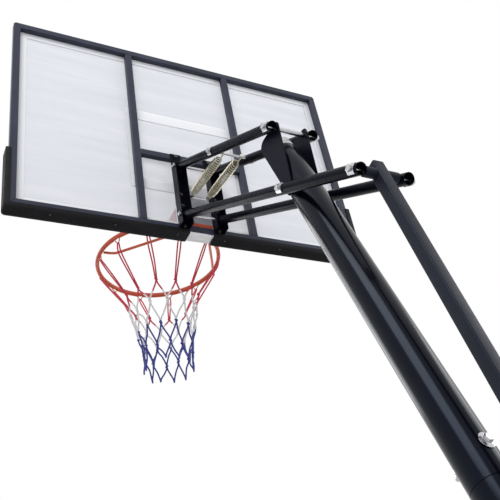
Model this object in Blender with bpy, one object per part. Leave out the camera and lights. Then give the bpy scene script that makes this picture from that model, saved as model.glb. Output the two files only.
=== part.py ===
"""Free-standing basketball hoop with a parallel-arm height lift.

Metres, +Z up.  X runs across the board, -Y points at the court, +Y at the
pole and the base.  The origin is on the ground under the middle of the
whole object.  Board heights are given above the lower edge of the board's
frame, and board depths from the rear face of that frame.
"""

import math

import bmesh
import bpy
from mathutils import Matrix, Vector

# Fits
GAP = 0.0003
SHAFT_PLAY = 0.0004
OPEN_PIVOT_PLAY = 0.0012
CUT_REACH = 0.010

# Proportions of a bolt, in shank diameters
HEAD_HEIGHT = 0.6
HEX_RADIUS = 0.92
HEX_EDGE_RADIUS = 0.82
NUT_HEIGHT = 0.8
BOLT_TIP = 1.2
ROD_TIP = 0.3

# Board
BOARD_REAR_Y = -0.8295
BOARD_WIDTH = 1.28
BOARD_HEIGHT = 0.87
FRAME_TUBE = 0.025
FRAME_DEPTH = 0.020
FRAME_WALL = 0.0012
PANEL_THICKNESS = 0.0042
INNER_UPRIGHT_X = 0.2045
CROSSBAR_HEIGHT = 0.333

# Rim and net
RIM_HEIGHT = 3.048
RIM_ABOVE_FRAME_EDGE = 0.161
RIM_INNER_DIAMETER = 0.450
RIM_ROD = 0.016
RIM_REACH = 0.151
BACK_PLATE_EDGE = 0.0095
BACK_PLATE_HEIGHT = 0.175
BACK_PLATE_THICKNESS = 0.005
BACK_PLATE_LIP = 0.0035
BACK_PLATE_FOOT = 0.034
BACK_PLATE_BEND = 0.006
BACK_PLATE_TOE = 0.019
RIM_BRACKET_WIDTH = 0.100
RIM_BRACKET_SHEET = 0.003
RIM_CHEEK_BOTTOM = 0.050
RIM_CHEEK_NOSE = 0.014
RIM_BRACKET_INSIDE_RING = 0.0466
BRACE_ROD = 0.010
BRACE_ANGLE = math.radians(4)
BRACE_DROP = 0.002
BRACE_KNEE_X = 0.196
BRACE_KNEE_DEPTH = -0.335
BRACE_KNEE_HEIGHT = 0.122
BRACE_FOOT_X = 0.036
BRACE_FOOT_HEIGHT = 0.033
HOOK_COUNT = 12
HOOK_WIRE = 0.004
HOOK_LOOP = 0.012
HOOK_DROP = 0.016
HOOK_LEAN = 0.25
HOOK_STEPS = 4
NET_CORD = 0.0045
NET_LENGTH = 0.445
NET_STRAND_DROP = 0.145
NET_STRAND_SPREAD = 0.005
NET_STRAND_SHOULDER = 0.25
NET_STRAND_FOOT = 0.0027
NET_BRACE_ANGLE = math.radians(30)
NET_BRACE_PUSH = 0.016
NET_TOP_RADIUS = 0.229
NET_KNOT_RADIUS = 0.138
NET_WAIST_RADIUS = 0.082
NET_ROWS = 4
NET_TAPER = 1.35
NET_FLARE = 0.006
NET_FLARE_FROM = 0.75

# Edge padding on the lower half of the board
PAD_THICKNESS = 0.012
PAD_FRONT = 0.0255
PAD_REAR_LIP = 0.0042
PAD_REAR_COVER = 0.006
PAD_FRONT_COVER = 0.030
PAD_HEIGHT = 0.232
PAD_CENTRE_GAP = 0.092

# Lift arms
ARM_TUBE = 0.030
ARM_WALL = 0.0016
ARM_SIDE_PLAY = 0.0027
ARM_ANGLE = math.radians(32.8)
ARM_LENGTH = 0.693
ARM_TAIL = 0.020
ARM_NOSE = 0.012
SADDLE_RISE = 0.0035
SADDLE_LENGTH = 0.024
SADDLE_SPREAD = math.radians(46)
LOWER_ARM_TAIL_LENGTH = 0.330
FRONT_PIVOT_DEPTH = 0.024
UPPER_PIVOT_HEIGHT = 0.269
PIVOT_SEPARATION = 0.220
PIVOT_BOLT = 0.010
SPRING_ROD_REACH = 0.307
SPRING_ROD = 0.008
SPRING_DIAMETER = 0.030
SPRING_WIRE = 0.0032
SPRING_END = 0.030
SPRING_FRONT_END = 0.016
SPRING_TAPER = 0.012
SPRING_X = 0.031
SPRING_PIN_END = 0.008
SPRING_PIN_HEAD = 0.0062
SPRING_PIN_HEAD_THICKNESS = 0.002
SPRING_ANCHOR_DEPTH = 0.024
SPRING_ANCHOR_HEIGHT = 0.140

# Board brackets
BRACKET_SHEET = 0.0025
BRACKET_WIDTH = 0.040
BRACKET_DEPTH = 0.038
BRACKET_LOW = 0.0066
BRACKET_TOP = 0.345
BRACKET_FLANGE_TOP = 0.287
BRACKET_BOLT_LOW = 0.0145
BRACKET_BOLT_LENGTH = 0.009
TIE_PLATE_LOW = 0.026
TIE_PLATE_HIGH = 0.039
RIM_BOLT_LOW = 0.100
RIM_BOLT_HIGH = 0.150
RIM_BOLT = 0.008

# Pole
POLE_DIAMETER = 0.085
POLE_WALL = 0.0022
POLE_LEAN = math.radians(17.8)
POLE_TOP_DROP = 0.145
POLE_TAPER_DROP = 0.250
POLE_TOP_DIAMETER = 0.073
POLE_BEHIND_PIVOT = 0.00898
POLE_SEAM_HIGH = 1.675
POLE_SEAM_LOW = 0.657
POLE_SPIGOT = 0.090
POLE_TAPER_SWELL = 0.001
POLE_BOLT = 0.010
SEAM_BOLT_RISE = 0.061
SEAM_WASHER = 0.0042
SEAM_WASHER_RADIUS = 0.0165
SPIGOT_SHOULDER = 0.006
CAP_HEIGHT = 0.048
CAP_PLUG = 0.020
CAP_SKIRT = 0.0100
CAP_GROOVE = 0.0056
CAP_GROOVE_DEPTH = 0.003
CAP_BAND = 0.0100

# Pivot plates on the pole
PLATE_SHEET = 0.003
PLATE_EAR = 0.019
PLATE_EAR_LOW = 0.0145
PLATE_NOSE_DEPTH = 0.088
PLATE_NOSE_RADIUS = 0.024
PLATE_NOSE_DROP = 0.004
PLATE_CREST = math.radians(95)
PLATE_FRONT = math.radians(200)
SPACER_DIAMETER = 0.014

# Rear strut and its adjuster
STRUT_TUBE = 0.030
STRUT_WALL = 0.0016
STRUT_LEAN = math.radians(11.3)
STRUT_TOP = 0.032
STRUT_LENGTH = 1.180
STRUT_SLEEVE = 0.026
SLEEVE_END_PLAY = 0.001
CLAMP_REACH = 1.150
CLAMP_BOLT = 0.010
CLAMP_WASHER = 0.0025
CLAMP_WASHER_RADIUS = 0.012
CLAMP_HEAD_EDGE = 0.0085
SLOT_MARGIN = 0.022
LIFT_TRAVEL = math.radians(65.0)
KNOB_DIAMETER = 0.062
KNOB_THICKNESS = 0.024
KNOB_STANDOFF = 0.0045
KNOB_LOBES = 6
HANDLE_ROD = 0.012
HANDLE_REACH_TOP = 0.740
HANDLE_REACH_LOW = 0.900
HANDLE_DEPTH = 0.062
HANDLE_BEND = 0.016
GRIP_DIAMETER = 0.026

# Base
TANK_LENGTH = 1.100
TANK_WIDTH = 0.760
TANK_HEIGHT = 0.170
TANK_WALL = 0.005
TANK_CORNER = 0.090
TANK_CORNER_MIN = 0.020
TANK_AHEAD_OF_POLE = 0.18253
TANK_FOOT_EDGE = 0.014
TANK_TOP_INSET = 0.060
BALLAST_HEIGHT = 0.075
FILLER_HOLE = 0.050
FILLER_X = 0.2128
FILLER_SETBACK = 0.160
FILLER_CAP_RIM = 0.007
SOCKET_PLATE = 0.170
SOCKET_SHEET = 0.005
SPIGOT_HEIGHT = 0.120
BRACE_TUBE = 0.022
BRACE_WALL = 0.0016
BRACE_TOP_HEIGHT = 0.600
BRACE_SIDE_PLAY = 0.0015
BRACE_TAIL = 0.016
BRACE_BEHIND_POLE = 0.62647
BRACE_FOOT_RISE = 0.024
BRACE_LUG_FOOT = 0.040
WHEEL_DIAMETER = 0.100
WHEEL_WIDTH = 0.036
WHEEL_X = 0.260
WHEEL_GROUND_CLEARANCE = 0.005
WHEEL_AXLE = 0.010
WHEEL_STANDOFF = 0.062
WHEEL_LUG_X = 0.224
WHEEL_LUG_WIDTH = 0.014
WHEEL_LUG_RISE = 0.034
WHEEL_LUG_DROP = 0.030
WHEEL_END_PLAY = 0.002
LUG_RADIUS = 0.018

# Derived places
FRAME_Z = RIM_HEIGHT - RIM_ABOVE_FRAME_EDGE
HALF_WIDTH = BOARD_WIDTH / 2
FRAME_FRONT = -FRAME_DEPTH
PANEL_FRONT = FRAME_FRONT - GAP - PANEL_THICKNESS
PLATE_BACK = PANEL_FRONT - GAP
PLATE_FACE = PLATE_BACK - BACK_PLATE_THICKNESS
RING_RADIUS = (RIM_INNER_DIAMETER + RIM_ROD) / 2
RING_DEPTH = PANEL_FRONT - RIM_REACH - RIM_INNER_DIAMETER / 2
POLE_RADIUS = POLE_DIAMETER / 2
ARM_X = POLE_RADIUS + GAP + PLATE_SHEET + ARM_SIDE_PLAY + ARM_TUBE / 2
ARM_OUTER_X = ARM_X + ARM_TUBE / 2
BRACKET_INNER_X = ARM_X - BRACKET_WIDTH / 2
BRACKET_OUTER_X = ARM_X + BRACKET_WIDTH / 2
BRACE_X = POLE_RADIUS + BRACE_TUBE / 2 + BRACE_SIDE_PLAY
POLE_AXIS = Vector((0, -math.sin(POLE_LEAN), math.cos(POLE_LEAN)))
ARM_FORWARD = Vector((0, -math.cos(ARM_ANGLE), math.sin(ARM_ANGLE)))
STRUT_DOWN = Vector((0, math.sin(STRUT_LEAN), -math.cos(STRUT_LEAN)))
STRUT_BACK = Vector((0, math.cos(STRUT_LEAN), math.sin(STRUT_LEAN)))
X_AXIS = Vector((1, 0, 0))
Y_AXIS = Vector((0, 1, 0))
Z_AXIS = Vector((0, 0, 1))


def board_point(x, depth, height):
    """A point given from the board frame's rear face and lower edge."""
    return Vector((x, BOARD_REAR_Y + depth, FRAME_Z + height))


UPPER_FRONT = board_point(0, FRONT_PIVOT_DEPTH, UPPER_PIVOT_HEIGHT)
LOWER_FRONT = UPPER_FRONT - Z_AXIS * PIVOT_SEPARATION
UPPER_POLE = UPPER_FRONT - ARM_FORWARD * ARM_LENGTH
LOWER_POLE = LOWER_FRONT - ARM_FORWARD * ARM_LENGTH
LOWER_REAR = LOWER_POLE - ARM_FORWARD * LOWER_ARM_TAIL_LENGTH
SPRING_REAR = UPPER_FRONT - ARM_FORWARD * SPRING_ROD_REACH
SPRING_FRONT = board_point(0, SPRING_ANCHOR_DEPTH, SPRING_ANCHOR_HEIGHT)
CLAMP_POINT = LOWER_REAR + STRUT_DOWN * CLAMP_REACH
SLOT_CENTRE = CLAMP_POINT - (LOWER_REAR - LOWER_POLE)
KNOB_X = STRUT_TUBE / 2 + SHAFT_PLAY + PLATE_SHEET + KNOB_STANDOFF


def pole_point(height):
    """The point of the pole's axis at a height above the ground."""
    drop = LOWER_POLE.z - height
    return Vector((0, LOWER_POLE.y + POLE_BEHIND_PIVOT + drop * math.tan(POLE_LEAN), height))


POLE_FOOT = pole_point(TANK_HEIGHT)
TANK_FRONT_Y = POLE_FOOT.y - TANK_AHEAD_OF_POLE
TANK_REAR_Y = TANK_FRONT_Y + TANK_LENGTH
WHEEL_Y = TANK_FRONT_Y - WHEEL_STANDOFF
WHEEL_Z = WHEEL_DIAMETER / 2 + WHEEL_GROUND_CLEARANCE

PIVOTS = {
    "root": Vector((0, 0, 0)),
    "lower_arms": LOWER_POLE,
    "upper_arms": UPPER_POLE,
    "board": UPPER_FRONT,
    "strut": LOWER_REAR,
    "clamp": CLAMP_POINT + X_AXIS * KNOB_X,
    "wheel_left": Vector((WHEEL_X, WHEEL_Y, WHEEL_Z)),
    "wheel_right": Vector((-WHEEL_X, WHEEL_Y, WHEEL_Z)),
}
CARRIED_BY = {
    "lower_arms": "root",
    "upper_arms": "root",
    "board": "upper_arms",
    "strut": "lower_arms",
    "clamp": "strut",
    "wheel_left": "root",
    "wheel_right": "root",
}

BOLT_WORDS = ("right_low", "right_high", "left_low", "left_high")

LOOKS = {
    "frame_paint": ((0.045, 0.046, 0.060), 0.45, 0.0),
    "pole_paint": ((0.012, 0.013, 0.020), 0.22, 0.0),
    "arm_paint": ((0.014, 0.014, 0.018), 0.38, 0.0),
    "zinc": ((0.72, 0.72, 0.74), 0.28, 1.0),
    "spring_steel": ((0.55, 0.53, 0.44), 0.38, 1.0),
    "rim_paint": ((0.75, 0.13, 0.05), 0.40, 0.0),
    "acrylic": ((0.80, 0.82, 0.88), 0.25, 0.0),
    "pad_plastic": ((0.012, 0.012, 0.014), 0.60, 0.0),
    "net_cord": ((0.78, 0.12, 0.16), 0.85, 0.0),
    "tank_plastic": ((0.015, 0.015, 0.018), 0.55, 0.0),
    "sand": ((0.55, 0.45, 0.30), 0.95, 0.0),
    "rubber": ((0.02, 0.02, 0.02), 0.80, 0.0),
}


def clear_scene():
    """Start from an empty scene."""
    for item in list(bpy.data.objects):
        bpy.data.objects.remove(item, do_unlink=True)


def make_material(node_name, look):
    """A plain material of the named look for one node."""
    colour, roughness, metallic = LOOKS[look]
    material = bpy.data.materials.new(node_name)
    material.use_nodes = True
    shader = material.node_tree.nodes["Principled BSDF"]
    shader.inputs["Base Color"].default_value = (*colour, 1.0)
    shader.inputs["Roughness"].default_value = roughness
    shader.inputs["Metallic"].default_value = metallic
    return material


def make_pivots():
    """An empty on each joint's axis, each carried by the body before it."""
    empties = {}
    for body, place in PIVOTS.items():
        if body == "root":
            continue
        empty = bpy.data.objects.new("pivot_" + body, None)
        bpy.context.collection.objects.link(empty)
        carrier = CARRIED_BY[body]
        if carrier == "root":
            empty.location = place
        else:
            empty.parent = empties[carrier]
            empty.location = place - PIVOTS[carrier]
        empties[body] = empty
    return empties


def finish(bm, name, look, body, empties, smooth=False):
    """Turn a mesh in world places into a named object of a body."""
    bmesh.ops.remove_doubles(bm, verts=bm.verts, dist=1e-6)
    bmesh.ops.recalc_face_normals(bm, faces=bm.faces)
    bmesh.ops.translate(bm, verts=bm.verts, vec=-PIVOTS[body])
    mesh = bpy.data.meshes.new(name)
    bm.to_mesh(mesh)
    bm.free()
    if smooth:
        mesh.shade_smooth()
        mesh.set_sharp_from_angle(angle=math.radians(35))
    mesh.materials.append(make_material(name, look))
    item = bpy.data.objects.new(name, mesh)
    bpy.context.collection.objects.link(item)
    if body != "root":
        item.parent = empties[body]
    return item


def combine(item, bm, name, operation):
    """Boolean an object with a hidden mesh given in world places."""
    bmesh.ops.recalc_face_normals(bm, faces=bm.faces)
    mesh = bpy.data.meshes.new(name)
    bm.to_mesh(mesh)
    bm.free()
    helper = bpy.data.objects.new(name, mesh)
    bpy.context.collection.objects.link(helper)
    helper.hide_render = True
    helper.display_type = "WIRE"
    modifier = item.modifiers.new(name, "BOOLEAN")
    modifier.operation = operation
    modifier.object = helper


def cut(item, bm, name):
    """Subtract a mesh in world places from an object."""
    combine(item, bm, name, "DIFFERENCE")


def join(item, bm, name):
    """Add a mesh in world places to an object."""
    combine(item, bm, name, "UNION")


def side_axes(axis):
    """Two directions across an axis; the first is X wherever it can be."""
    across = X_AXIS if abs(axis.x) < 0.9 else Y_AXIS
    first = (across - axis * across.dot(axis)).normalized()
    return first, axis.cross(first)


def ring(bm, centre, axis, radius, sides, hexagon=False):
    """A loop of vertices round an axis, on a circle or on a hexagon."""
    first, second = side_axes(axis)
    loop = []
    for k in range(sides):
        angle = 2 * math.pi * k / sides
        reach = radius
        if hexagon and k % 2:
            reach = radius * math.cos(math.pi / 6)
        place = centre + first * (reach * math.cos(angle)) + second * (reach * math.sin(angle))
        loop.append(bm.verts.new(place))
    return loop


def bridge(bm, low, high):
    """Faces between two loops of equal length."""
    count = len(low)
    for k in range(count):
        after = (k + 1) % count
        bm.faces.new((low[k], low[after], high[after], high[k]))


def turned(bm, origin, axis, outline, sides=16, closed=False):
    """A turned solid from (distance along the axis, radius[, hexagon]) steps."""
    loops = []
    for step in outline:
        hexagon = len(step) > 2 and step[2]
        loops.append(ring(bm, origin + axis * step[0], axis, step[1], sides, hexagon))
    for low, high in zip(loops, loops[1:]):
        bridge(bm, low, high)
    if closed:
        bridge(bm, loops[-1], loops[0])
    else:
        bm.faces.new(loops[0])
        bm.faces.new(loops[-1])
    return loops


def rod(bm, start, end, radius, sides=10):
    """A plain round bar."""
    span = end - start
    turned(bm, start, span.normalized(), ((0, radius), (span.length, radius)), sides)


def tube(bm, start, end, radius, wall, sides=16):
    """A round tube that is open at both ends."""
    span = end - start
    length = span.length
    inner = radius - wall
    outline = ((0, inner), (0, radius), (length, radius), (length, inner))
    turned(bm, start, span.normalized(), outline, sides, closed=True)


def bolt(bm, head_seat, axis, shank, length, grip=0.0, washer=0.0, washer_radius=0.0):
    """A hexagon-head bolt run along the axis, with a washer and nut past its grip."""
    height = shank * HEAD_HEIGHT
    edge, size = shank * HEX_EDGE_RADIUS, shank * HEX_RADIUS
    outline = [(-height - washer, edge, True), (-height * 0.8 - washer, size, True)]
    outline.append((-washer, size, True))
    if washer:
        outline += [(-washer, washer_radius), (0, washer_radius)]
    outline.append((0, shank / 2))
    if grip:
        outline.append((grip, shank / 2))
        if washer:
            outline += [(grip, washer_radius), (grip + washer, washer_radius)]
        outline.append((grip + washer, size, True))
        outline.append((grip + washer + shank * NUT_HEIGHT, size, True))
        outline.append((grip + washer + shank * NUT_HEIGHT, shank / 2))
    outline.append((length, shank / 2))
    turned(bm, head_seat, axis, outline, 12)


def cross_bolt(bm, middle, half_grip, shank):
    """A bolt across X through a point, with its nut."""
    grip = 2 * half_grip
    start = middle + X_AXIS * half_grip
    bolt(bm, start, -X_AXIS, shank, grip + shank * BOLT_TIP, grip)


def box(bm, low, high):
    """A box between two corners."""
    size = Vector(high) - Vector(low)
    middle = (Vector(high) + Vector(low)) / 2
    matrix = Matrix.Translation(middle) @ Matrix.Diagonal((*size, 1))
    bmesh.ops.create_cube(bm, size=1, matrix=matrix)


def board_box(bm, x_range, depth_range, height_range):
    """A box given in the board's own places."""
    low = board_point(x_range[0], depth_range[0], height_range[0])
    high = board_point(x_range[1], depth_range[1], height_range[1])
    box(bm, low, high)


def arc(centre, radius, start, end, steps):
    """Points of an arc in a (Y, Z) outline; angles from +Y towards +Z."""
    points = []
    for k in range(steps + 1):
        angle = start + (end - start) * k / steps
        points.append((centre[0] + radius * math.cos(angle), centre[1] + radius * math.sin(angle)))
    return points


def plate_yz(bm, outline, x_low, x_high):
    """A flat plate across X from an outline of (Y, Z) points."""
    low = [bm.verts.new((x_low, y, z)) for y, z in outline]
    high = [bm.verts.new((x_high, y, z)) for y, z in outline]
    bridge(bm, low, high)
    bm.faces.new(low)
    bm.faces.new(high)


def prism(bm, outline, shift):
    """A solid swept straight from a closed outline of points."""
    low = [bm.verts.new(place) for place in outline]
    high = [bm.verts.new(place + shift) for place in outline]
    bridge(bm, low, high)
    bm.faces.new(low)
    bm.faces.new(high)


def bent_rod(bm, points, radius, sides=10):
    """A round bar along a bent path, mitred at its bends."""
    loops = []
    for k, place in enumerate(points):
        before = (place - points[k - 1]).normalized() if k else None
        after = (points[k + 1] - place).normalized() if k + 1 < len(points) else None
        along = ((before or after) + (after or before)).normalized()
        if not loops:
            first, _ = side_axes(along)
        else:
            first = (first - along * first.dot(along)).normalized()
        second = along.cross(first)
        loop = []
        for side in range(sides):
            angle = 2 * math.pi * side / sides
            out = first * math.cos(angle) + second * math.sin(angle)
            loop.append(bm.verts.new(place + out * radius))
        loops.append(loop)
    for low, high in zip(loops, loops[1:]):
        bridge(bm, low, high)
    bm.faces.new(loops[0])
    bm.faces.new(loops[-1])


def square_tube(bm, start, end, first, second, size, wall, start_bevel=0.0, end_bevel=0.0):
    """A rectangular tube; a bevel shifts an end along the tube across the first side."""
    span = end - start
    along = span.normalized()
    corners = ((-1, -1), (1, -1), (1, 1), (-1, 1))

    def loop(place, bevel, shrink):
        verts = []
        for a, b in corners:
            side = a * (size[0] / 2 - shrink)
            point = place + first * side + second * (b * (size[1] / 2 - shrink))
            verts.append(bm.verts.new(point + along * (bevel * side)))
        return verts

    outer = [loop(start, start_bevel, 0), loop(end, end_bevel, 0)]
    inner = [loop(start, start_bevel, wall), loop(end, end_bevel, wall)]
    bridge(bm, outer[0], outer[1])
    bridge(bm, inner[0], inner[1])
    bridge(bm, outer[0], inner[0])
    bridge(bm, outer[1], inner[1])


def frame_shape(bm, inset):
    """The welded frame as one plate with three windows, shrunk by an inset."""
    half = FRAME_TUBE / 2
    side = HALF_WIDTH - half
    columns = []
    for x in (-side, -INNER_UPRIGHT_X, INNER_UPRIGHT_X, side):
        columns += [x - half + inset, x + half - inset]
    rows = []
    for height in (half, CROSSBAR_HEIGHT, BOARD_HEIGHT - half):
        rows += [height - half + inset, height + half - inset]
    depths = (-FRAME_DEPTH + inset, -inset)

    def filled(i, j):
        inside = 0 <= i < len(columns) - 1 and 0 <= j < len(rows) - 1
        return inside and (i % 2 == 0 or j in (0, 4) or (i == 3 and j == 2))

    verts = {}
    for i, x in enumerate(columns):
        for j, height in enumerate(rows):
            for k, depth in enumerate(depths):
                verts[i, j, k] = bm.verts.new(board_point(x, depth, height))
    for i in range(len(columns) - 1):
        for j in range(len(rows) - 1):
            if not filled(i, j):
                continue
            square = ((i, j), (i + 1, j), (i + 1, j + 1), (i, j + 1))
            for k in (0, 1):
                bm.faces.new([verts[a, b, k] for a, b in square])
            beyond = ((i, j - 1), (i + 1, j), (i, j + 1), (i - 1, j))
            for side_index, neighbour in enumerate(beyond):
                if not filled(*neighbour):
                    low, high = square[side_index], square[(side_index + 1) % 4]
                    bm.faces.new((verts[(*low, 0)], verts[(*high, 0)],
                                  verts[(*high, 1)], verts[(*low, 1)]))
    for vert in [v for v in bm.verts if not v.link_faces]:
        bm.verts.remove(vert)


def make_frame(empties):
    """The backboard's welded frame of square tube, hollow all the way round."""
    bm = bmesh.new()
    frame_shape(bm, 0)
    frame = finish(bm, "backboard_frame", "frame_paint", "board", empties)
    hollow = bmesh.new()
    frame_shape(hollow, FRAME_WALL)
    cut(frame, hollow, "frame_hollow")
    cutter = bmesh.new()
    for place in bracket_bolt_places():
        rod(cutter, place - Y_AXIS * (FRAME_DEPTH / 2), place + Y_AXIS * CUT_REACH,
            RIM_BOLT / 2 + SHAFT_PLAY)
    cut(frame, cutter, "frame_bolt_holes")


def bracket_bolt_places():
    """Where the brackets' bolts enter the frame's rear face."""
    places = []
    for side in (-1, 1):
        for height in (BRACKET_BOLT_LOW, CROSSBAR_HEIGHT):
            places.append(board_point(side * ARM_X, 0, height))
    return places


def rim_bolt_places():
    """Where the rim's bolts cross the front face of the panel."""
    places = []
    for side in (-1, 1):
        for height in (RIM_BOLT_LOW, RIM_BOLT_HIGH):
            places.append(board_point(side * ARM_X, PANEL_FRONT, height))
    return places


def make_panel(empties):
    """The acrylic panel, with the holes for the rim's bolts."""
    bm = bmesh.new()
    board_box(bm, (-HALF_WIDTH, HALF_WIDTH), (PANEL_FRONT, FRAME_FRONT - GAP), (0, BOARD_HEIGHT))
    panel = finish(bm, "backboard_panel", "acrylic", "board", empties)
    cutter = bmesh.new()
    for place in rim_bolt_places():
        rod(cutter, place - Y_AXIS * CUT_REACH, place + Y_AXIS * (PANEL_THICKNESS + CUT_REACH),
            RIM_BOLT / 2 + SHAFT_PLAY)
    cut(panel, cutter, "panel_bolt_holes")


def pad_section():
    """The padding's section as (distance outside the frame, depth) points."""
    front = PANEL_FRONT - PAD_FRONT
    bevel = PAD_THICKNESS * 0.5
    return (
        (GAP, GAP),
        (-PAD_REAR_COVER, GAP),
        (-PAD_REAR_COVER, PAD_REAR_LIP),
        (PAD_THICKNESS - bevel * 0.4, PAD_REAR_LIP),
        (PAD_THICKNESS, PAD_REAR_LIP - bevel * 0.4),
        (PAD_THICKNESS, front + bevel),
        (PAD_THICKNESS - bevel, front),
        (-PAD_FRONT_COVER, front),
        (-PAD_FRONT_COVER, PANEL_FRONT - GAP),
        (GAP, PANEL_FRONT - GAP),
    )


def make_pad(name, side, empties):
    """One half of the edge padding: up a side, round a corner, along the bottom."""
    bm = bmesh.new()
    section = pad_section()
    corner_steps = 5
    stations = [("side", PAD_HEIGHT)]
    for k in range(corner_steps + 1):
        stations.append(("corner", math.pi / 2 * k / corner_steps))
    stations.append(("bottom", PAD_CENTRE_GAP / 2))
    loops = []
    for kind, value in stations:
        loop = []
        for out, depth in section:
            if kind == "side":
                x, height = HALF_WIDTH + out, value
            elif kind == "bottom":
                x, height = value, -out
            elif out > GAP:
                x = HALF_WIDTH + out * math.cos(value)
                height = -out * math.sin(value)
            else:
                x, height = HALF_WIDTH + out, -out
            loop.append(bm.verts.new(board_point(side * x, depth, height)))
        loops.append(loop)
    for low, high in zip(loops, loops[1:]):
        bridge(bm, low, high)
    bm.faces.new(loops[0])
    bm.faces.new(loops[-1])
    finish(bm, name, "pad_plastic", "board", empties)


def ring_centre():
    """The middle of the rim's ring."""
    return board_point(0, RING_DEPTH, RIM_ABOVE_FRAME_EDGE)


def ring_place(angle, radius=RING_RADIUS, drop=0.0):
    """A point round the ring; angle 0 is +X and a quarter turn is +Y."""
    out = Vector((math.cos(angle), math.sin(angle), 0))
    return ring_centre() + out * radius - Z_AXIS * drop


def make_rim_ring(empties):
    """The ring, bent from round bar."""
    bm = bmesh.new()
    sides = 48
    loops = []
    for k in range(sides):
        angle = 2 * math.pi * k / sides
        out = Vector((math.cos(angle), math.sin(angle), 0))
        loop = []
        for m in range(8):
            turn = 2 * math.pi * m / 8
            reach = RIM_ROD / 2
            offset = out * (reach * math.cos(turn)) + Z_AXIS * (reach * math.sin(turn))
            loop.append(bm.verts.new(ring_place(angle) + offset))
        loops.append(loop)
    for k in range(sides):
        bridge(bm, loops[k], loops[(k + 1) % sides])
    finish(bm, "rim_ring", "rim_paint", "board", empties, smooth=True)


def make_rim_bracket(empties):
    """The rim's pressed bracket: a top sheet up to the ring and two cheeks."""
    bm = bmesh.new()
    half = RIM_BRACKET_WIDTH / 2
    sheet = RIM_BRACKET_SHEET
    top = RIM_ABOVE_FRAME_EDGE + sheet / 2
    low = RIM_CHEEK_BOTTOM
    back = PLATE_FACE - GAP
    front = RING_DEPTH + RING_RADIUS - RIM_BRACKET_INSIDE_RING
    outline = (
        (-half, low),
        (-half, top),
        (half, top),
        (half, low),
        (half - sheet, low),
        (half - sheet, top - sheet),
        (-half + sheet, top - sheet),
        (-half + sheet, low),
    )
    points = [board_point(x, front, height) for x, height in outline]
    prism(bm, points, Y_AXIS * (back - front))
    bracket = finish(bm, "rim_bracket", "rim_paint", "board", empties)
    ring_room = bmesh.new()
    middle = ring_centre()
    reach = Z_AXIS * RIM_ABOVE_FRAME_EDGE
    rod(ring_room, middle - reach, middle + reach, RING_RADIUS + RIM_ROD / 2 + GAP, 48)
    cut(bracket, ring_room, "rim_bracket_ring_room")
    slope = bmesh.new()
    nose_low = top - sheet - RIM_CHEEK_NOSE
    outline = (
        (BOARD_REAR_Y + back + CUT_REACH, FRAME_Z + low - CUT_REACH),
        (BOARD_REAR_Y + back, FRAME_Z + low),
        (BOARD_REAR_Y + front, FRAME_Z + nose_low),
        (BOARD_REAR_Y + front - CUT_REACH, FRAME_Z + low - CUT_REACH),
    )
    plate_yz(slope, outline, -half - CUT_REACH, half + CUT_REACH)
    cut(bracket, slope, "rim_bracket_slope")


def make_back_plate(empties):
    """The bare steel plate behind the rim's bracket, folded under the frame."""
    bm = bmesh.new()
    half = ARM_X + BACK_PLATE_EDGE
    board_box(bm, (-half, half), (PLATE_FACE, PLATE_BACK), (BACK_PLATE_FOOT, BACK_PLATE_HEIGHT))
    plate = finish(bm, "rim_back_plate", "zinc", "board", empties)
    lip_half = PAD_CENTRE_GAP / 2 - GAP * 4
    low = -BACK_PLATE_LIP - GAP
    lip = bmesh.new()
    outline = (
        (PLATE_FACE, BACK_PLATE_FOOT + CUT_REACH),
        (PLATE_FACE, low + BACK_PLATE_BEND),
        (PLATE_FACE - BACK_PLATE_TOE, low),
        (-FRAME_WALL, low),
        (-FRAME_WALL, -GAP),
        (PLATE_BACK, -GAP),
        (PLATE_BACK, BACK_PLATE_FOOT + CUT_REACH),
    )
    places = [(BOARD_REAR_Y + depth, FRAME_Z + height) for depth, height in outline]
    plate_yz(lip, places, -lip_half, lip_half)
    join(plate, lip, "back_plate_lip")
    cutter = bmesh.new()
    for place in rim_bolt_places():
        rod(cutter, place - Y_AXIS * CUT_REACH, place + Y_AXIS * CUT_REACH,
            RIM_BOLT / 2 + SHAFT_PLAY)
    cut(plate, cutter, "back_plate_bolt_holes")


def make_rim_bolts(empties):
    """Bolts that clamp the rim's back plate through the panel to the brackets."""
    grip = BRACKET_SHEET + 3 * GAP - PLATE_FACE
    for place, word in zip(rim_bolt_places(), BOLT_WORDS):
        bm = bmesh.new()
        seat = Vector((place.x, BOARD_REAR_Y + PLATE_FACE - GAP, place.z))
        bolt(bm, seat, Y_AXIS, RIM_BOLT, grip + RIM_BOLT * BOLT_TIP, grip)
        finish(bm, "rim_bolt_" + word, "zinc", "board", empties)


def brace_path():
    """The brace's bent path from one side of the ring round to the other."""
    radius = BRACE_ROD / 2
    beside = RING_RADIUS - RIM_ROD / 2 - radius - GAP
    start = ring_place(BRACE_ANGLE, beside, BRACE_DROP)
    knee = board_point(BRACE_KNEE_X, BRACE_KNEE_DEPTH, BRACE_KNEE_HEIGHT)
    back = PLATE_FACE - radius * math.cos(math.pi / 8) - GAP
    foot = board_point(BRACE_FOOT_X, back, BRACE_FOOT_HEIGHT)
    near = foot + Vector((BRACE_ROD, -BRACE_ROD * 1.5, BRACE_ROD * 0.4))
    half = [start, knee, near, foot]
    return half + [Vector((-point.x, point.y, point.z)) for point in reversed(half)]


def make_rim_brace(empties):
    """The bent rod that props the ring's sides from the foot of the back plate."""
    bm = bmesh.new()
    bent_rod(bm, brace_path(), BRACE_ROD / 2, 8)
    finish(bm, "rim_brace", "rim_paint", "board", empties, smooth=True)


def hook_angles():
    """Round places of the net hooks, one of them between the bracket's cheeks."""
    return [math.pi / 2 + 2 * math.pi * k / HOOK_COUNT for k in range(HOOK_COUNT)]


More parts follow.
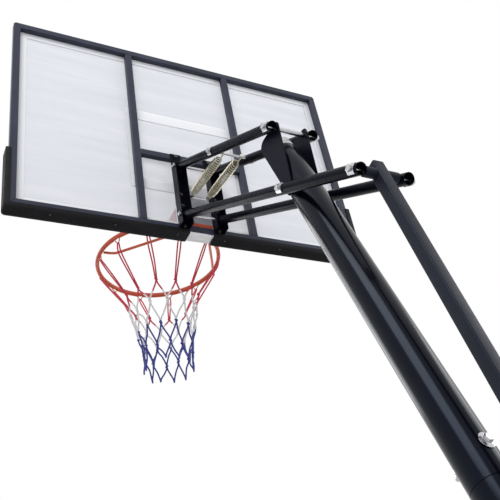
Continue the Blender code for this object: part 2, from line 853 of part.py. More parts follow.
def make_hook_wire(empties):
    """One wire bent into a loop at every net hook, run under the ring."""
    wire = HOOK_WIRE / 2
    under = RIM_ROD / 2 + wire + GAP
    spread = HOOK_LOOP / RING_RADIUS
    path = []
    for angle in hook_angles():
        for k in range(HOOK_STEPS + 1):
            share = k / HOOK_STEPS
            turn = angle + spread * (2 * share - 1)
            sag = HOOK_DROP * math.sin(math.pi * share)
            path.append(ring_place(turn, RING_RADIUS - sag * HOOK_LEAN, under + sag))
    bm = bmesh.new()
    sides = 5
    loops = []
    count = len(path)
    for k, place in enumerate(path):
        along = (path[(k + 1) % count] - path[k - 1]).normalized()
        out = place - ring_centre()
        first = (out - along * out.dot(along)).normalized()
        second = along.cross(first)
        loop = []
        for side in range(sides):
            angle = 2 * math.pi * side / sides
            offset = first * math.cos(angle) + second * math.sin(angle)
            loop.append(bm.verts.new(place + offset * wire))
        loops.append(loop)
    for k in range(count):
        bridge(bm, loops[k], loops[(k + 1) % count])
    finish(bm, "net_hook_wire", "rim_paint", "board", empties, smooth=True)


def net_radius(share):
    """The net's radius at a share of its length below the first knots."""
    funnel = (1 - share) ** NET_TAPER
    flare = NET_FLARE * max(0.0, share - NET_FLARE_FROM) / (1 - NET_FLARE_FROM)
    return NET_WAIST_RADIUS + (NET_KNOT_RADIUS - NET_WAIST_RADIUS) * funnel + flare


def make_net(empties):
    """The net: double strands from the hooks to a knotted lattice of cords.

    The strands beside the rim's brace pass outside it.
    """
    bm = bmesh.new()
    top = RIM_ABOVE_FRAME_EDGE - RIM_ROD / 2 - HOOK_WIRE - HOOK_DROP - NET_CORD / 2 - 2 * GAP
    rows = []
    for row in range(NET_ROWS + 1):
        share = row / NET_ROWS
        radius = net_radius(share)
        loop = []
        for angle in hook_angles():
            turn = angle + (math.pi / HOOK_COUNT if row % 2 else 0)
            place = ring_place(turn, radius, 0)
            place.z = FRAME_Z + top - NET_STRAND_DROP - (NET_LENGTH - NET_STRAND_DROP) * share
            loop.append(bm.verts.new(place))
        rows.append(loop)
    for row in range(NET_ROWS - 1):
        upper, middle, lower = rows[row], rows[row + 1], rows[row + 2]
        for k in range(HOOK_COUNT):
            if row % 2:
                left, right = middle[k], middle[(k + 1) % HOOK_COUNT]
            else:
                left, right = middle[k - 1], middle[k]
            bm.faces.new((upper[k], left, lower[k], right))
    net = finish(bm, "net", "net_cord", "board", empties)
    wires = net.modifiers.new("cords", "WIREFRAME")
    wires.thickness = NET_CORD
    wires.offset = 0
    wires.use_boundary = True
    wires.use_replace = True
    wires.use_even_offset = False
    strands = bmesh.new()
    for angle in hook_angles():
        aside = Vector((-math.sin(angle), math.cos(angle), 0))
        high = ring_place(angle, NET_TOP_RADIUS, 0)
        high.z = FRAME_Z + top
        low = ring_place(angle, NET_KNOT_RADIUS, 0)
        low.z = high.z - NET_STRAND_DROP
        shoulder = high.lerp(low, NET_STRAND_SHOULDER)
        behind = math.atan2(math.sin(angle), abs(math.cos(angle)))
        if abs(behind - NET_BRACE_ANGLE) < math.pi / HOOK_COUNT:
            shoulder += aside.cross(Z_AXIS) * NET_BRACE_PUSH
        near = aside * NET_STRAND_SPREAD
        foot = aside * NET_STRAND_FOOT
        path = [low - foot, shoulder - near, high, shoulder + near, low + foot]
        bent_rod(strands, path, NET_CORD / 2, 6)
    join(net, strands, "net_strands")


def make_bracket(name, side, empties):
    """A channel that holds the front ends of two arms, with a pin for a spring's hook."""
    bm = bmesh.new()
    sheet = BRACKET_SHEET
    outline = (
        (BRACKET_INNER_X, GAP),
        (BRACKET_OUTER_X, GAP),
        (BRACKET_OUTER_X, BRACKET_DEPTH),
        (BRACKET_OUTER_X - sheet, BRACKET_DEPTH),
        (BRACKET_OUTER_X - sheet, GAP + sheet),
        (BRACKET_INNER_X + sheet, GAP + sheet),
        (BRACKET_INNER_X + sheet, BRACKET_DEPTH),
        (BRACKET_INNER_X, BRACKET_DEPTH),
    )
    points = [board_point(side * x, depth, BRACKET_LOW) for x, depth in outline]
    prism(bm, points, Z_AXIS * (BRACKET_TOP - BRACKET_LOW))
    bracket = finish(bm, name, "arm_paint", "board", empties)
    across = X_AXIS * side
    end = SPRING_X - SPRING_PIN_END
    seat = end + SPRING_PIN_HEAD_THICKNESS
    pin = bmesh.new()
    turned(pin, SPRING_FRONT, across, (
        (end, SPRING_PIN_HEAD),
        (seat, SPRING_PIN_HEAD),
        (seat, SPRING_ROD / 2),
        (BRACKET_INNER_X + sheet / 2, SPRING_ROD / 2),
    ), 12)
    join(bracket, pin, name + "_pin")
    cutter = bmesh.new()
    hole = PIVOT_BOLT / 2 + SHAFT_PLAY
    inside = BRACKET_INNER_X - CUT_REACH
    outside = BRACKET_OUTER_X + CUT_REACH
    for pivot in (UPPER_FRONT, LOWER_FRONT):
        rod(cutter, pivot + across * inside, pivot + across * outside, hole)
    notch = (BRACKET_FLANGE_TOP, BRACKET_TOP + CUT_REACH)
    depths = (GAP + sheet, BRACKET_DEPTH + CUT_REACH)
    board_box(cutter, sorted((side * inside, side * outside)), depths, notch)
    for place in bracket_bolt_places() + rim_bolt_places():
        if place.x * side > 0:
            start = Vector((place.x, BOARD_REAR_Y - CUT_REACH, place.z))
            rod(cutter, start, start + Y_AXIS * BRACKET_DEPTH, RIM_BOLT / 2 + SHAFT_PLAY)
    cut(bracket, cutter, name + "_holes")


def make_bracket_bolts(empties):
    """Bolts that fix the two brackets to the frame."""
    for place, word in zip(bracket_bolt_places(), BOLT_WORDS):
        bm = bmesh.new()
        seat = place + Y_AXIS * (BRACKET_SHEET + 2 * GAP)
        bolt(bm, seat, -Y_AXIS, RIM_BOLT, BRACKET_BOLT_LENGTH)
        finish(bm, "bracket_bolt_" + word, "zinc", "board", empties)


def make_front_pivot(name, pivot, empties):
    """A long bolt and nut through both brackets and both arms."""
    bm = bmesh.new()
    cross_bolt(bm, pivot, BRACKET_OUTER_X + GAP, PIVOT_BOLT)
    finish(bm, name, "zinc", "board", empties)


def capped_rod(bm, middle, half, shank):
    """A rod across X with a nut outside each end of its middle span."""
    nut_end = half + shank * NUT_HEIGHT
    tip = nut_end + shank * ROD_TIP
    size = shank * HEX_RADIUS
    outline = (
        (-tip, shank / 2),
        (-nut_end, shank / 2),
        (-nut_end, size, True),
        (-half, size, True),
        (-half, shank / 2),
        (half, shank / 2),
        (half, size, True),
        (nut_end, size, True),
        (nut_end, shank / 2),
        (tip, shank / 2),
    )
    turned(bm, middle, X_AXIS, outline, 12)


def make_tie_plate(empties):
    """The plate that ties the two channels together above the frame's lower tube."""
    bm = bmesh.new()
    reach = BRACKET_INNER_X - GAP
    heights = (TIE_PLATE_LOW, TIE_PLATE_HIGH)
    board_box(bm, (-reach, reach), (-BRACKET_SHEET, 0), heights)
    finish(bm, "bracket_tie_plate", "rim_paint", "board", empties)


def make_arm(name, side, start, end, holes, body, empties):
    """A lift arm: a round tube, open at its ends, drilled for its bolts."""
    bm = bmesh.new()
    across = X_AXIS * (side * ARM_X)
    tube(bm, start + across, end + across, ARM_TUBE / 2, ARM_WALL, 14)
    arm = finish(bm, name, "arm_paint", body, empties, smooth=True)
    cutter = bmesh.new()
    for place, radius in holes:
        middle = place + across
        rod(cutter, middle - X_AXIS * ARM_TUBE, middle + X_AXIS * ARM_TUBE, radius)
    cut(arm, cutter, name + "_holes")


def make_arms(empties):
    """The two upper arms and the two longer lower arms."""
    running = PIVOT_BOLT / 2 + SHAFT_PLAY
    loose = PIVOT_BOLT / 2 + OPEN_PIVOT_PLAY
    tail = ARM_FORWARD * ARM_TAIL
    nose = ARM_FORWARD * ARM_NOSE
    for side, word in ((1, "left"), (-1, "right")):
        upper_holes = (
            (UPPER_POLE, running),
            (UPPER_FRONT, running),
            (SPRING_REAR, SPRING_ROD / 2 + SHAFT_PLAY),
        )
        make_arm("upper_arm_" + word, side, UPPER_POLE - tail, UPPER_FRONT + nose,
                 upper_holes, "upper_arms", empties)
        lower_holes = ((LOWER_REAR, running), (LOWER_POLE, running), (LOWER_FRONT, loose))
        make_arm("lower_arm_" + word, side, LOWER_REAR - tail, LOWER_FRONT + nose,
                 lower_holes, "lower_arms", empties)


def saddle(bm, place, side):
    """A curved washer that seats a bolt on the outside of a round arm."""
    steps = 4
    half = SADDLE_LENGTH / 2
    inner = ARM_TUBE / 2 + GAP
    outer = ARM_TUBE / 2 + SADDLE_RISE
    centre = place + X_AXIS * (side * ARM_X)
    up = ARM_FORWARD.cross(X_AXIS)
    outline = []
    for reach, order in ((inner, range(steps + 1)), (outer, range(steps, -1, -1))):
        for k in order:
            angle = SADDLE_SPREAD * (2 * k / steps - 1)
            offset = X_AXIS * (side * reach * math.cos(angle)) + up * (reach * math.sin(angle))
            outline.append(centre + offset - ARM_FORWARD * half)
    prism(bm, outline, ARM_FORWARD * (2 * half))


def make_arm_bolt(name, pivot, body, empties):
    """A bolt across both arms with its nut and its two saddle washers."""
    bm = bmesh.new()
    cross_bolt(bm, pivot, ARM_OUTER_X + SADDLE_RISE - GAP, PIVOT_BOLT)
    stack = finish(bm, name, "zinc", body, empties)
    for side, word in ((1, "_left_saddle"), (-1, "_right_saddle")):
        washer = bmesh.new()
        saddle(washer, pivot, side)
        join(stack, washer, name + word)


def make_spring_rod(empties):
    """The cross rod through the upper arms, with a nut and saddle at each end."""
    bm = bmesh.new()
    capped_rod(bm, SPRING_REAR, ARM_OUTER_X + SADDLE_RISE - GAP, SPRING_ROD)
    stack = finish(bm, "spring_rod", "zinc", "upper_arms", empties)
    for side, word in ((1, "left"), (-1, "right")):
        washer = bmesh.new()
        saddle(washer, SPRING_REAR, side)
        join(stack, washer, "spring_rod_saddle_" + word)


def make_spring(name, side, empties):
    """An extension spring's body, with a hook round the rod at each end."""
    bm = bmesh.new()
    front = SPRING_FRONT + X_AXIS * (side * SPRING_X)
    rear = SPRING_REAR + X_AXIS * (side * SPRING_X)
    along = (rear - front).normalized()
    span = (rear - front).length
    radius = SPRING_DIAMETER / 2
    inner = radius - SPRING_WIRE
    neck = radius * 0.8
    throat = inner * 0.75
    end = span - SPRING_END
    begin = SPRING_FRONT_END
    outline = (
        (begin, throat),
        (begin, neck),
        (begin + SPRING_TAPER, radius),
        (end - SPRING_TAPER, radius),
        (end, neck),
        (end, throat),
        (end - SPRING_TAPER, inner),
        (begin + SPRING_TAPER, inner),
    )
    turned(bm, front, along, outline, 12, closed=True)
    spring = finish(bm, name, "spring_steel", "upper_arms", empties, smooth=True)
    across = along.cross(X_AXIS)
    hook = SPRING_ROD / 2 + SPRING_WIRE / 2 + GAP
    leg = across * (radius * 0.70)
    hooks = (
        (front, along, SPRING_FRONT_END, "_front_hook"),
        (rear, -along, SPRING_END, "_rear_hook"),
    )
    for centre, away, reach, word in hooks:
        points = []
        for k in range(7):
            turn = math.radians(-150 + 40 * k)
            points.append(centre - away * (hook * math.cos(turn)) + across * (hook * math.sin(turn)))
        points.append(centre + away * (reach * 0.6) + leg)
        points.append(centre + away * (reach + SPRING_WIRE) + leg)
        wire = bmesh.new()
        bent_rod(wire, points, SPRING_WIRE / 2, 6)
        join(spring, wire, name + word)


def pole_length(high, low):
    """Distance along the pole's axis between two heights."""
    return (high - low) / math.cos(POLE_LEAN)


def make_pole_section(name, low, high, spigot, top_outline, empties, floor=None, bolts=()):
    """A length of the pole; a spigot at its top slides into the section above."""
    bm = bmesh.new()
    origin = pole_point(low)
    length = pole_length(high, low)
    outer = POLE_RADIUS
    inner = POLE_RADIUS - POLE_WALL
    outline = [(GAP / 2, inner), (GAP / 2, outer)]
    if top_outline:
        outline += top_outline
    elif spigot:
        neck = inner - GAP * 2
        outline += [(length - GAP, outer), (length - GAP, neck), (length + spigot, neck)]
        outline += [(length + spigot, neck - POLE_WALL)]
        outline += [(length - SPIGOT_SHOULDER, neck - POLE_WALL)]
        outline += [(length - SPIGOT_SHOULDER * 2, inner)]
    loops = turned(bm, origin, POLE_AXIS, outline, 20, closed=True)
    if floor is not None:
        for vert in loops[0] + loops[1]:
            vert.co += POLE_AXIS * ((floor - vert.co.z) / POLE_AXIS.z)
    section = finish(bm, name, "pole_paint", "root", empties, smooth=True)
    if bolts:
        cutter = bmesh.new()
        for place, axis, radius in bolts:
            reach = axis * POLE_DIAMETER
            rod(cutter, place - reach, place + reach, radius + SHAFT_PLAY)
        cut(section, cutter, name + "_bolt_holes")


def seam_bolt_axis():
    """The seam bolts cross the pole from front to rear, square to its axis."""
    return X_AXIS.cross(POLE_AXIS).normalized() * -1


def make_pole(empties):
    """The three sections of the pole, from the top down."""
    top = FRAME_Z - POLE_TOP_DROP
    taper = FRAME_Z - POLE_TAPER_DROP
    length = pole_length(top, POLE_SEAM_HIGH)
    shoulder = pole_length(taper, POLE_SEAM_HIGH)
    neck = POLE_TOP_DIAMETER / 2
    halfway = (shoulder + length) / 2
    swell = (POLE_RADIUS + neck) / 2 + POLE_TAPER_SWELL
    top_outline = [
        (shoulder, POLE_RADIUS),
        (halfway, swell),
        (length, neck),
        (length, neck - POLE_WALL),
        (halfway, swell - POLE_WALL),
        (shoulder, POLE_RADIUS - POLE_WALL),
    ]
    axis = seam_bolt_axis()
    high_bolt = pole_point(POLE_SEAM_HIGH + SEAM_BOLT_RISE)
    low_bolt = pole_point(POLE_SEAM_LOW + SEAM_BOLT_RISE)
    seam = POLE_BOLT / 2
    pivot = PIVOT_BOLT / 2
    make_pole_section("pole_upper", POLE_SEAM_HIGH, top, 0, top_outline, empties,
                      bolts=((high_bolt, axis, seam), (LOWER_POLE, X_AXIS, pivot)))
    make_pole_section("pole_middle", POLE_SEAM_LOW, POLE_SEAM_HIGH, POLE_SPIGOT, None, empties,
                      bolts=((high_bolt, axis, seam), (low_bolt, axis, seam)))
    floor = TANK_HEIGHT + GAP * 2 + SOCKET_SHEET
    brace_bolt = pole_point(BRACE_TOP_HEIGHT)
    make_pole_section("pole_lower", TANK_HEIGHT, POLE_SEAM_LOW, POLE_SPIGOT, None, empties,
                      floor, ((low_bolt, axis, seam), (brace_bolt, X_AXIS, seam)))


def make_pole_cap(empties):
    """The stepped cap that closes the pole's top."""
    bm = bmesh.new()
    origin = pole_point(FRAME_Z - POLE_TOP_DROP)
    rim = POLE_TOP_DIAMETER / 2 + 0.001
    plug = POLE_TOP_DIAMETER / 2 - POLE_WALL - GAP
    groove = CAP_SKIRT + CAP_GROOVE
    band = groove + CAP_BAND
    outline = (
        (-CAP_PLUG, plug * 0.8),
        (GAP, plug * 0.8),
        (GAP, rim),
        (CAP_SKIRT, rim),
        (CAP_SKIRT + GAP, rim - CAP_GROOVE_DEPTH),
        (groove - GAP, rim - CAP_GROOVE_DEPTH),
        (groove, rim),
        (band, rim - CAP_GROOVE_DEPTH / 2),
        ((band + CAP_HEIGHT) / 2, rim * 0.8),
        (CAP_HEIGHT, rim * 0.35),
    )
    turned(bm, origin, POLE_AXIS, outline, 16)
    finish(bm, "pole_cap", "zinc", "root", empties, smooth=True)


def make_seam_bolts(empties):
    """Bolts with washers and nuts that lock the pole's sections together."""
    axis = seam_bolt_axis()
    seams = (("upper", POLE_SEAM_HIGH), ("lower", POLE_SEAM_LOW))
    for word, height in seams:
        bm = bmesh.new()
        grip = 2 * (POLE_RADIUS + GAP)
        start = pole_point(height + SEAM_BOLT_RISE) + axis * (grip / 2)
        length = grip + SEAM_WASHER + POLE_BOLT * BOLT_TIP
        bolt(bm, start, -axis, POLE_BOLT, length, grip, SEAM_WASHER, SEAM_WASHER_RADIUS)
        finish(bm, "pole_seam_bolt_" + word, "zinc", "root", empties)


def pivot_plate_outline():
    """The side plate's outline round both pole pivots."""
    top = (UPPER_POLE.y, UPPER_POLE.z)
    low = (LOWER_POLE.y, LOWER_POLE.z)
    reach = PLATE_NOSE_DEPTH - PLATE_NOSE_RADIUS
    nose = (UPPER_POLE.y - reach, UPPER_POLE.z - PLATE_NOSE_DROP)
    outline = arc(top, PLATE_EAR, 0, PLATE_CREST, 8)
    outline += arc(nose, PLATE_NOSE_RADIUS, PLATE_CREST, PLATE_FRONT, 8)
    outline += arc(low, PLATE_EAR_LOW, PLATE_FRONT, math.radians(360), 12)
    return outline


def make_pivot_plate(name, side, empties):
    """A plate beside the pole's head that carries both rear pivots."""
    bm = bmesh.new()
    inner = POLE_RADIUS + GAP
    low, high = sorted((side * inner, side * (inner + PLATE_SHEET)))
    plate_yz(bm, pivot_plate_outline(), low, high)
    plate = finish(bm, name, "arm_paint", "root", empties)
    cutter = bmesh.new()
    reach = X_AXIS * (side * ARM_X)
    for pivot in (UPPER_POLE, LOWER_POLE):
        rod(cutter, pivot + reach / 2, pivot + reach, PIVOT_BOLT / 2 + SHAFT_PLAY)
    cut(plate, cutter, name + "_holes")


def make_pivot_spacer(empties):
    """The sleeve round the upper pivot bolt that keeps the two plates apart."""
    bm = bmesh.new()
    reach = X_AXIS * POLE_RADIUS
    tube(bm, UPPER_POLE - reach, UPPER_POLE + reach, SPACER_DIAMETER / 2,
         SPACER_DIAMETER / 2 - PIVOT_BOLT / 2 - SHAFT_PLAY, 16)
    finish(bm, "upper_pivot_spacer", "arm_paint", "root", empties, smooth=True)


def make_strut(empties):
    """The square rear strut with the sleeve welded through its top."""
    start = LOWER_REAR - STRUT_DOWN * STRUT_TOP
    end = LOWER_REAR + STRUT_DOWN * STRUT_LENGTH
    bm = bmesh.new()
    square_tube(bm, start, end, X_AXIS, STRUT_BACK, (STRUT_TUBE, STRUT_TUBE), STRUT_WALL)
    strut = finish(bm, "strut_tube", "frame_paint", "strut", empties)
    sleeve = bmesh.new()
    reach = X_AXIS * (ARM_X - ARM_TUBE / 2 - SLEEVE_END_PLAY)
    rod(sleeve, LOWER_REAR - reach, LOWER_REAR + reach, STRUT_SLEEVE / 2, 16)
    join(strut, sleeve, "strut_sleeve")
    cutter = bmesh.new()
    side = X_AXIS * ARM_X
    rod(cutter, LOWER_REAR - side, LOWER_REAR + side, PIVOT_BOLT / 2 + SHAFT_PLAY)
    rod(cutter, CLAMP_POINT - side, CLAMP_POINT + side, CLAMP_BOLT / 2 + SHAFT_PLAY)
    cut(strut, cutter, "strut_holes")


def pole_rear_point(height, offset):
    """A (Y, Z) place at an offset behind the pole's rear line, at a height."""
    reach = (POLE_RADIUS + offset) / math.cos(POLE_LEAN)
    return pole_point(height).y + reach, height


def make_adjuster(empties):
    """The folded bracket behind the pole whose curved slots guide the clamp."""
    inner = STRUT_TUBE / 2 + SHAFT_PLAY
    outer = inner + PLATE_SHEET
    centre = (SLOT_CENTRE.y, SLOT_CENTRE.z)
    radius = LOWER_ARM_TAIL_LENGTH
    first = -ARM_ANGLE
    last = LIFT_TRAVEL - ARM_ANGLE
    edge = SLOT_MARGIN / radius
    curve = arc(centre, radius + SLOT_MARGIN, first - edge, last + edge, 14)
    top, low = curve[-1][1], curve[0][1]
    bm = bmesh.new()
    outline = curve + [pole_rear_point(top, GAP), pole_rear_point(low, GAP)]
    plate_yz(bm, outline, -outer, outer)
    bracket = finish(bm, "adjuster_bracket", "arm_paint", "root", empties)
    room = bmesh.new()
    web = GAP + PLATE_SHEET
    far = centre[0] + radius + SLOT_MARGIN + CUT_REACH
    above, below = top + CUT_REACH, low - CUT_REACH
    hollow = [pole_rear_point(above, web), pole_rear_point(below, web), (far, below), (far, above)]
    plate_yz(room, hollow, -inner, inner)
    cut(bracket, room, "adjuster_room")
    cutter = bmesh.new()
    half = CLAMP_BOLT / 2 + SHAFT_PLAY * 2
    slot = arc(centre, radius + half, first, last, 14)
    end = (centre[0] + radius * math.cos(last), centre[1] + radius * math.sin(last))
    slot += arc(end, half, last, last + math.pi, 6)[1:-1]
    slot += arc(centre, radius - half, last, first, 14)
    start = (centre[0] + radius * math.cos(first), centre[1] + radius * math.sin(first))
    slot += arc(start, half, first + math.pi, first + 2 * math.pi, 6)[1:-1]
    plate_yz(cutter, slot, -outer - CUT_REACH, outer + CUT_REACH)
    cut(bracket, cutter, "adjuster_slot")


def make_clamp(empties):
    """The clamp's bolt through the strut and both slots, with its star knob."""
    bm = bmesh.new()
    outside = STRUT_TUBE / 2 + SHAFT_PLAY + PLATE_SHEET + GAP
    washer = outside + CLAMP_WASHER
    shank = CLAMP_BOLT / 2
    disc = CLAMP_WASHER_RADIUS
    outline = (
        (-washer - CLAMP_BOLT * HEAD_HEIGHT, CLAMP_HEAD_EDGE, True),
        (-washer, CLAMP_BOLT * HEX_RADIUS, True),
        (-washer, disc),
        (-outside, disc),
        (-outside, shank),
        (outside, shank),
        (outside, disc),
        (washer, disc),
        (washer, shank),
        (KNOB_X + KNOB_THICKNESS * 0.6, shank),
    )
    turned(bm, CLAMP_POINT, X_AXIS, outline, 16)
    finish(bm, "clamp_bolt", "zinc", "strut", empties)
    bm = bmesh.new()
    origin = CLAMP_POINT + X_AXIS * KNOB_X
    steps = KNOB_LOBES * 4
    bore = CLAMP_BOLT / 2 + SHAFT_PLAY
    first, second = side_axes(X_AXIS)
    loops = []
    rim = KNOB_DIAMETER / 2
    levels = ((0, bore, False), (0, rim * 0.55, False), (0.006, rim * 0.9, True),
              (KNOB_THICKNESS * 0.75, rim, True), (KNOB_THICKNESS, rim * 0.86, True))
    depth = KNOB_THICKNESS * 0.7
    for distance, radius, lobed in levels + ((KNOB_THICKNESS, bore, False), (depth, bore, False)):
        loop = []
        for k in range(steps):
            angle = 2 * math.pi * k / steps
            reach = radius * (1 + 0.08 * math.cos(KNOB_LOBES * angle)) if lobed else radius
            out = first * math.cos(angle) + second * math.sin(angle)
            loop.append(bm.verts.new(origin + X_AXIS * distance + out * reach))
        loops.append(loop)
    for low, high in zip(loops, loops[1:]):
        bridge(bm, low, high)
    bridge(bm, loops[-1], loops[0])
    finish(bm, "clamp_knob", "tank_plastic", "clamp", empties, smooth=True)


def make_handle(empties):
    """The bow handle on the strut's rear and its rubber grip."""
    bm = bmesh.new()
    skin = STRUT_TUBE / 2 + GAP
    top = LOWER_REAR + STRUT_DOWN * HANDLE_REACH_TOP
    low = LOWER_REAR + STRUT_DOWN * HANDLE_REACH_LOW
    bend = HANDLE_BEND
    path = [top + STRUT_BACK * skin]
    for corner, first, second in ((top, -STRUT_BACK, STRUT_DOWN), (low, -STRUT_DOWN, -STRUT_BACK)):
        apex = corner + STRUT_BACK * (skin + HANDLE_DEPTH)
        for k in range(5):
            share = k / 4
            path.append(apex + first * (bend * (1 - share) ** 2) + second * (bend * share ** 2))
    path.append(low + STRUT_BACK * skin)
    bent_rod(bm, path, HANDLE_ROD / 2, 8)
    finish(bm, "strut_handle", "frame_paint", "strut", empties, smooth=True)
    bm = bmesh.new()
    out = STRUT_BACK * (skin + HANDLE_DEPTH)
    wall = GRIP_DIAMETER / 2 - HANDLE_ROD / 2 - GAP
    trim = bend * 1.3
    tube(bm, top + out + STRUT_DOWN * trim, low + out - STRUT_DOWN * trim,
         GRIP_DIAMETER / 2, wall)
    finish(bm, "handle_grip", "rubber", "strut", empties, smooth=True)


def tank_loop(bm, inset, height):
    """A rounded rectangle of the tank's plan at a height."""
    loop = []
    half_x = TANK_WIDTH / 2 - inset
    corner = max(TANK_CORNER - inset, TANK_CORNER_MIN)
    low_y = TANK_FRONT_Y + inset
    high_y = TANK_REAR_Y - inset
    corners = (
        (half_x - corner, high_y - corner, 0),
        (-half_x + corner, high_y - corner, 1),
        (-half_x + corner, low_y + corner, 2),
        (half_x - corner, low_y + corner, 3),
    )
    for x, y, quarter in corners:
        for k in range(5):
            angle = math.pi / 2 * (quarter + k / 4)
            loop.append(bm.verts.new((x + corner * math.cos(angle), y + corner * math.sin(angle), height)))
    return loop


def tank_shape(bm, levels):
    """A closed solid lofted through (inset, height) levels of the tank."""
    loops = [tank_loop(bm, inset, height) for inset, height in levels]
    for low, high in zip(loops, loops[1:]):
        bridge(bm, low, high)
    bm.faces.new(loops[0])
    bm.faces.new(loops[-1])


def filler_place():
    """The middle of the filler hole in the tank's top."""
    return Vector((FILLER_X, TANK_REAR_Y - FILLER_SETBACK, TANK_HEIGHT))


def tank_levels():
    """The tank's outer form, from its foot to its top."""
    return (
        (TANK_FOOT_EDGE, 0),
        (0, TANK_FOOT_EDGE),
        (0, TANK_HEIGHT * 0.62),
        (TANK_TOP_INSET * 0.3, TANK_HEIGHT * 0.84),
        (TANK_TOP_INSET * 0.75, TANK_HEIGHT * 0.97),
        (TANK_TOP_INSET, TANK_HEIGHT),
    )


def make_tank(empties):
    """The hollow base with its filler hole, its wheel lugs and its brace lug."""
    bm = bmesh.new()
    tank_shape(bm, tank_levels())
    tank = finish(bm, "base_tank", "tank_plastic", "root", empties)
    inside = TANK_FRONT_Y + TANK_WALL * 0.6
    for side, word in ((1, "left"), (-1, "right")):
        ear = bmesh.new()
        outline = [(inside, WHEEL_Z + WHEEL_LUG_RISE), (inside, WHEEL_Z - WHEEL_LUG_DROP)]
        outline += arc((WHEEL_Y, WHEEL_Z), LUG_RADIUS, math.radians(250), math.radians(100), 6)
        low, high = sorted((side * WHEEL_LUG_X, side * (WHEEL_LUG_X + WHEEL_LUG_WIDTH)))
        plate_yz(ear, outline, low, high)
        join(tank, ear, "wheel_lug_" + word)
    brace = bmesh.new()
    end = brace_end()
    base = TANK_HEIGHT - TANK_WALL * 0.6
    outline = arc((end.y, end.z), LUG_RADIUS, math.radians(30), math.radians(150), 6)
    outline += [(end.y - BRACE_LUG_FOOT, base), (end.y + BRACE_LUG_FOOT, base)]
    half = BRACE_X - BRACE_TUBE / 2 - GAP * 2
    plate_yz(brace, outline, -half, half)
    join(tank, brace, "brace_lug")
    cavity = bmesh.new()
    levels = (
        (TANK_FOOT_EDGE + TANK_WALL, TANK_WALL),
        (TANK_WALL, TANK_FOOT_EDGE + TANK_WALL),
        (TANK_WALL, TANK_HEIGHT * 0.60),
        (TANK_TOP_INSET / 3 + TANK_WALL, TANK_HEIGHT * 0.82),
        (TANK_TOP_INSET, TANK_HEIGHT - TANK_WALL),
    )
    tank_shape(cavity, levels)
    cut(tank, cavity, "tank_cavity")
    cutter = bmesh.new()
    hole = filler_place()
    reach = Z_AXIS * (TANK_WALL + CUT_REACH)
    rod(cutter, hole - reach, hole + reach, FILLER_HOLE / 2, 20)
    middle = Vector((0, WHEEL_Y, WHEEL_Z))
    reach = X_AXIS * WHEEL_X
    rod(cutter, middle - reach, middle + reach, WHEEL_AXLE / 2 + SHAFT_PLAY)
    reach = X_AXIS * BRACE_X
    rod(cutter, end - reach, end + reach, POLE_BOLT / 2 + SHAFT_PLAY)
    cut(tank, cutter, "tank_holes")


def make_ballast(empties):
    """The sand that lies in the bottom of the tank."""
    bm = bmesh.new()
    skin = TANK_WALL + GAP * 2
    levels = ((TANK_FOOT_EDGE + skin, skin), (skin, TANK_FOOT_EDGE + skin), (skin, BALLAST_HEIGHT))
    tank_shape(bm, levels)
    finish(bm, "sand_ballast", "sand", "root", empties)


def make_filler_cap(empties):
    """The plug in the tank's filler hole."""
    bm = bmesh.new()
    plug = FILLER_HOLE / 2 - GAP
    outline = (
        (-0.014, plug - 0.002),
        (GAP, plug),
        (GAP, plug + FILLER_CAP_RIM),
        (0.009, plug + FILLER_CAP_RIM),
        (0.012, plug + 0.003),
        (0.012, 0.010),
        (0.020, 0.008),
    )
    turned(bm, filler_place(), Z_AXIS, outline, 20)
    finish(bm, "filler_cap", "tank_plastic", "root", empties, smooth=True)


def make_socket(empties):
    """The pole's foot plate with a leaning spigot welded on it."""
    foot = POLE_FOOT
    half = SOCKET_PLATE / 2
    bm = bmesh.new()
    low = TANK_HEIGHT + GAP
    box(bm, (-half, foot.y - half, low), (half, foot.y + half, low + SOCKET_SHEET))
    socket = finish(bm, "pole_foot_socket", "arm_paint", "root", empties)
    spigot = bmesh.new()
    floor = low + SOCKET_SHEET * 0.6
    outer = POLE_RADIUS - POLE_WALL - GAP * 2
    inner = outer - POLE_WALL
    outline = ((0.02, inner), (0.02, outer), (SPIGOT_HEIGHT, outer), (SPIGOT_HEIGHT, inner))
    loops = turned(spigot, foot, POLE_AXIS, outline, 20, closed=True)
    for vert in loops[0] + loops[1]:
        vert.co += POLE_AXIS * ((floor - vert.co.z) / POLE_AXIS.z)
    join(socket, spigot, "pole_foot_spigot")


def brace_end():
    """The lower end of a base brace, at its foot's bolt."""
    return POLE_FOOT + Y_AXIS * BRACE_BEHIND_POLE + Z_AXIS * BRACE_FOOT_RISE


def make_base_braces(empties):
    """Two tubes from the pole's sides to the tank's lug, with their bolts."""
    top = pole_point(BRACE_TOP_HEIGHT)
    low = brace_end()
    along = (low - top).normalized()
    hole = POLE_BOLT / 2 + SHAFT_PLAY
    tail = along * BRACE_TAIL
    for side, word in ((1, "left"), (-1, "right")):
        across = X_AXIS * (side * BRACE_X)
        bm = bmesh.new()
        tube(bm, top + across - tail, low + across + tail, BRACE_TUBE / 2, BRACE_WALL, 10)
        name = "base_brace_" + word
        brace = finish(bm, name, "frame_paint", "root", empties, smooth=True)
        cutter = bmesh.new()
        reach = X_AXIS * BRACE_TUBE
        for place in (top + across, low + across):
            rod(cutter, place - reach, place + reach, hole, 10)
        cut(brace, cutter, name + "_holes")
    seat = BRACE_X + BRACE_TUBE / 2 + GAP
    for name, place in (("brace_bolt_top", top), ("brace_bolt_foot", low)):
        bm = bmesh.new()
        cross_bolt(bm, place, seat, POLE_BOLT)
        finish(bm, name, "zinc", "root", empties)


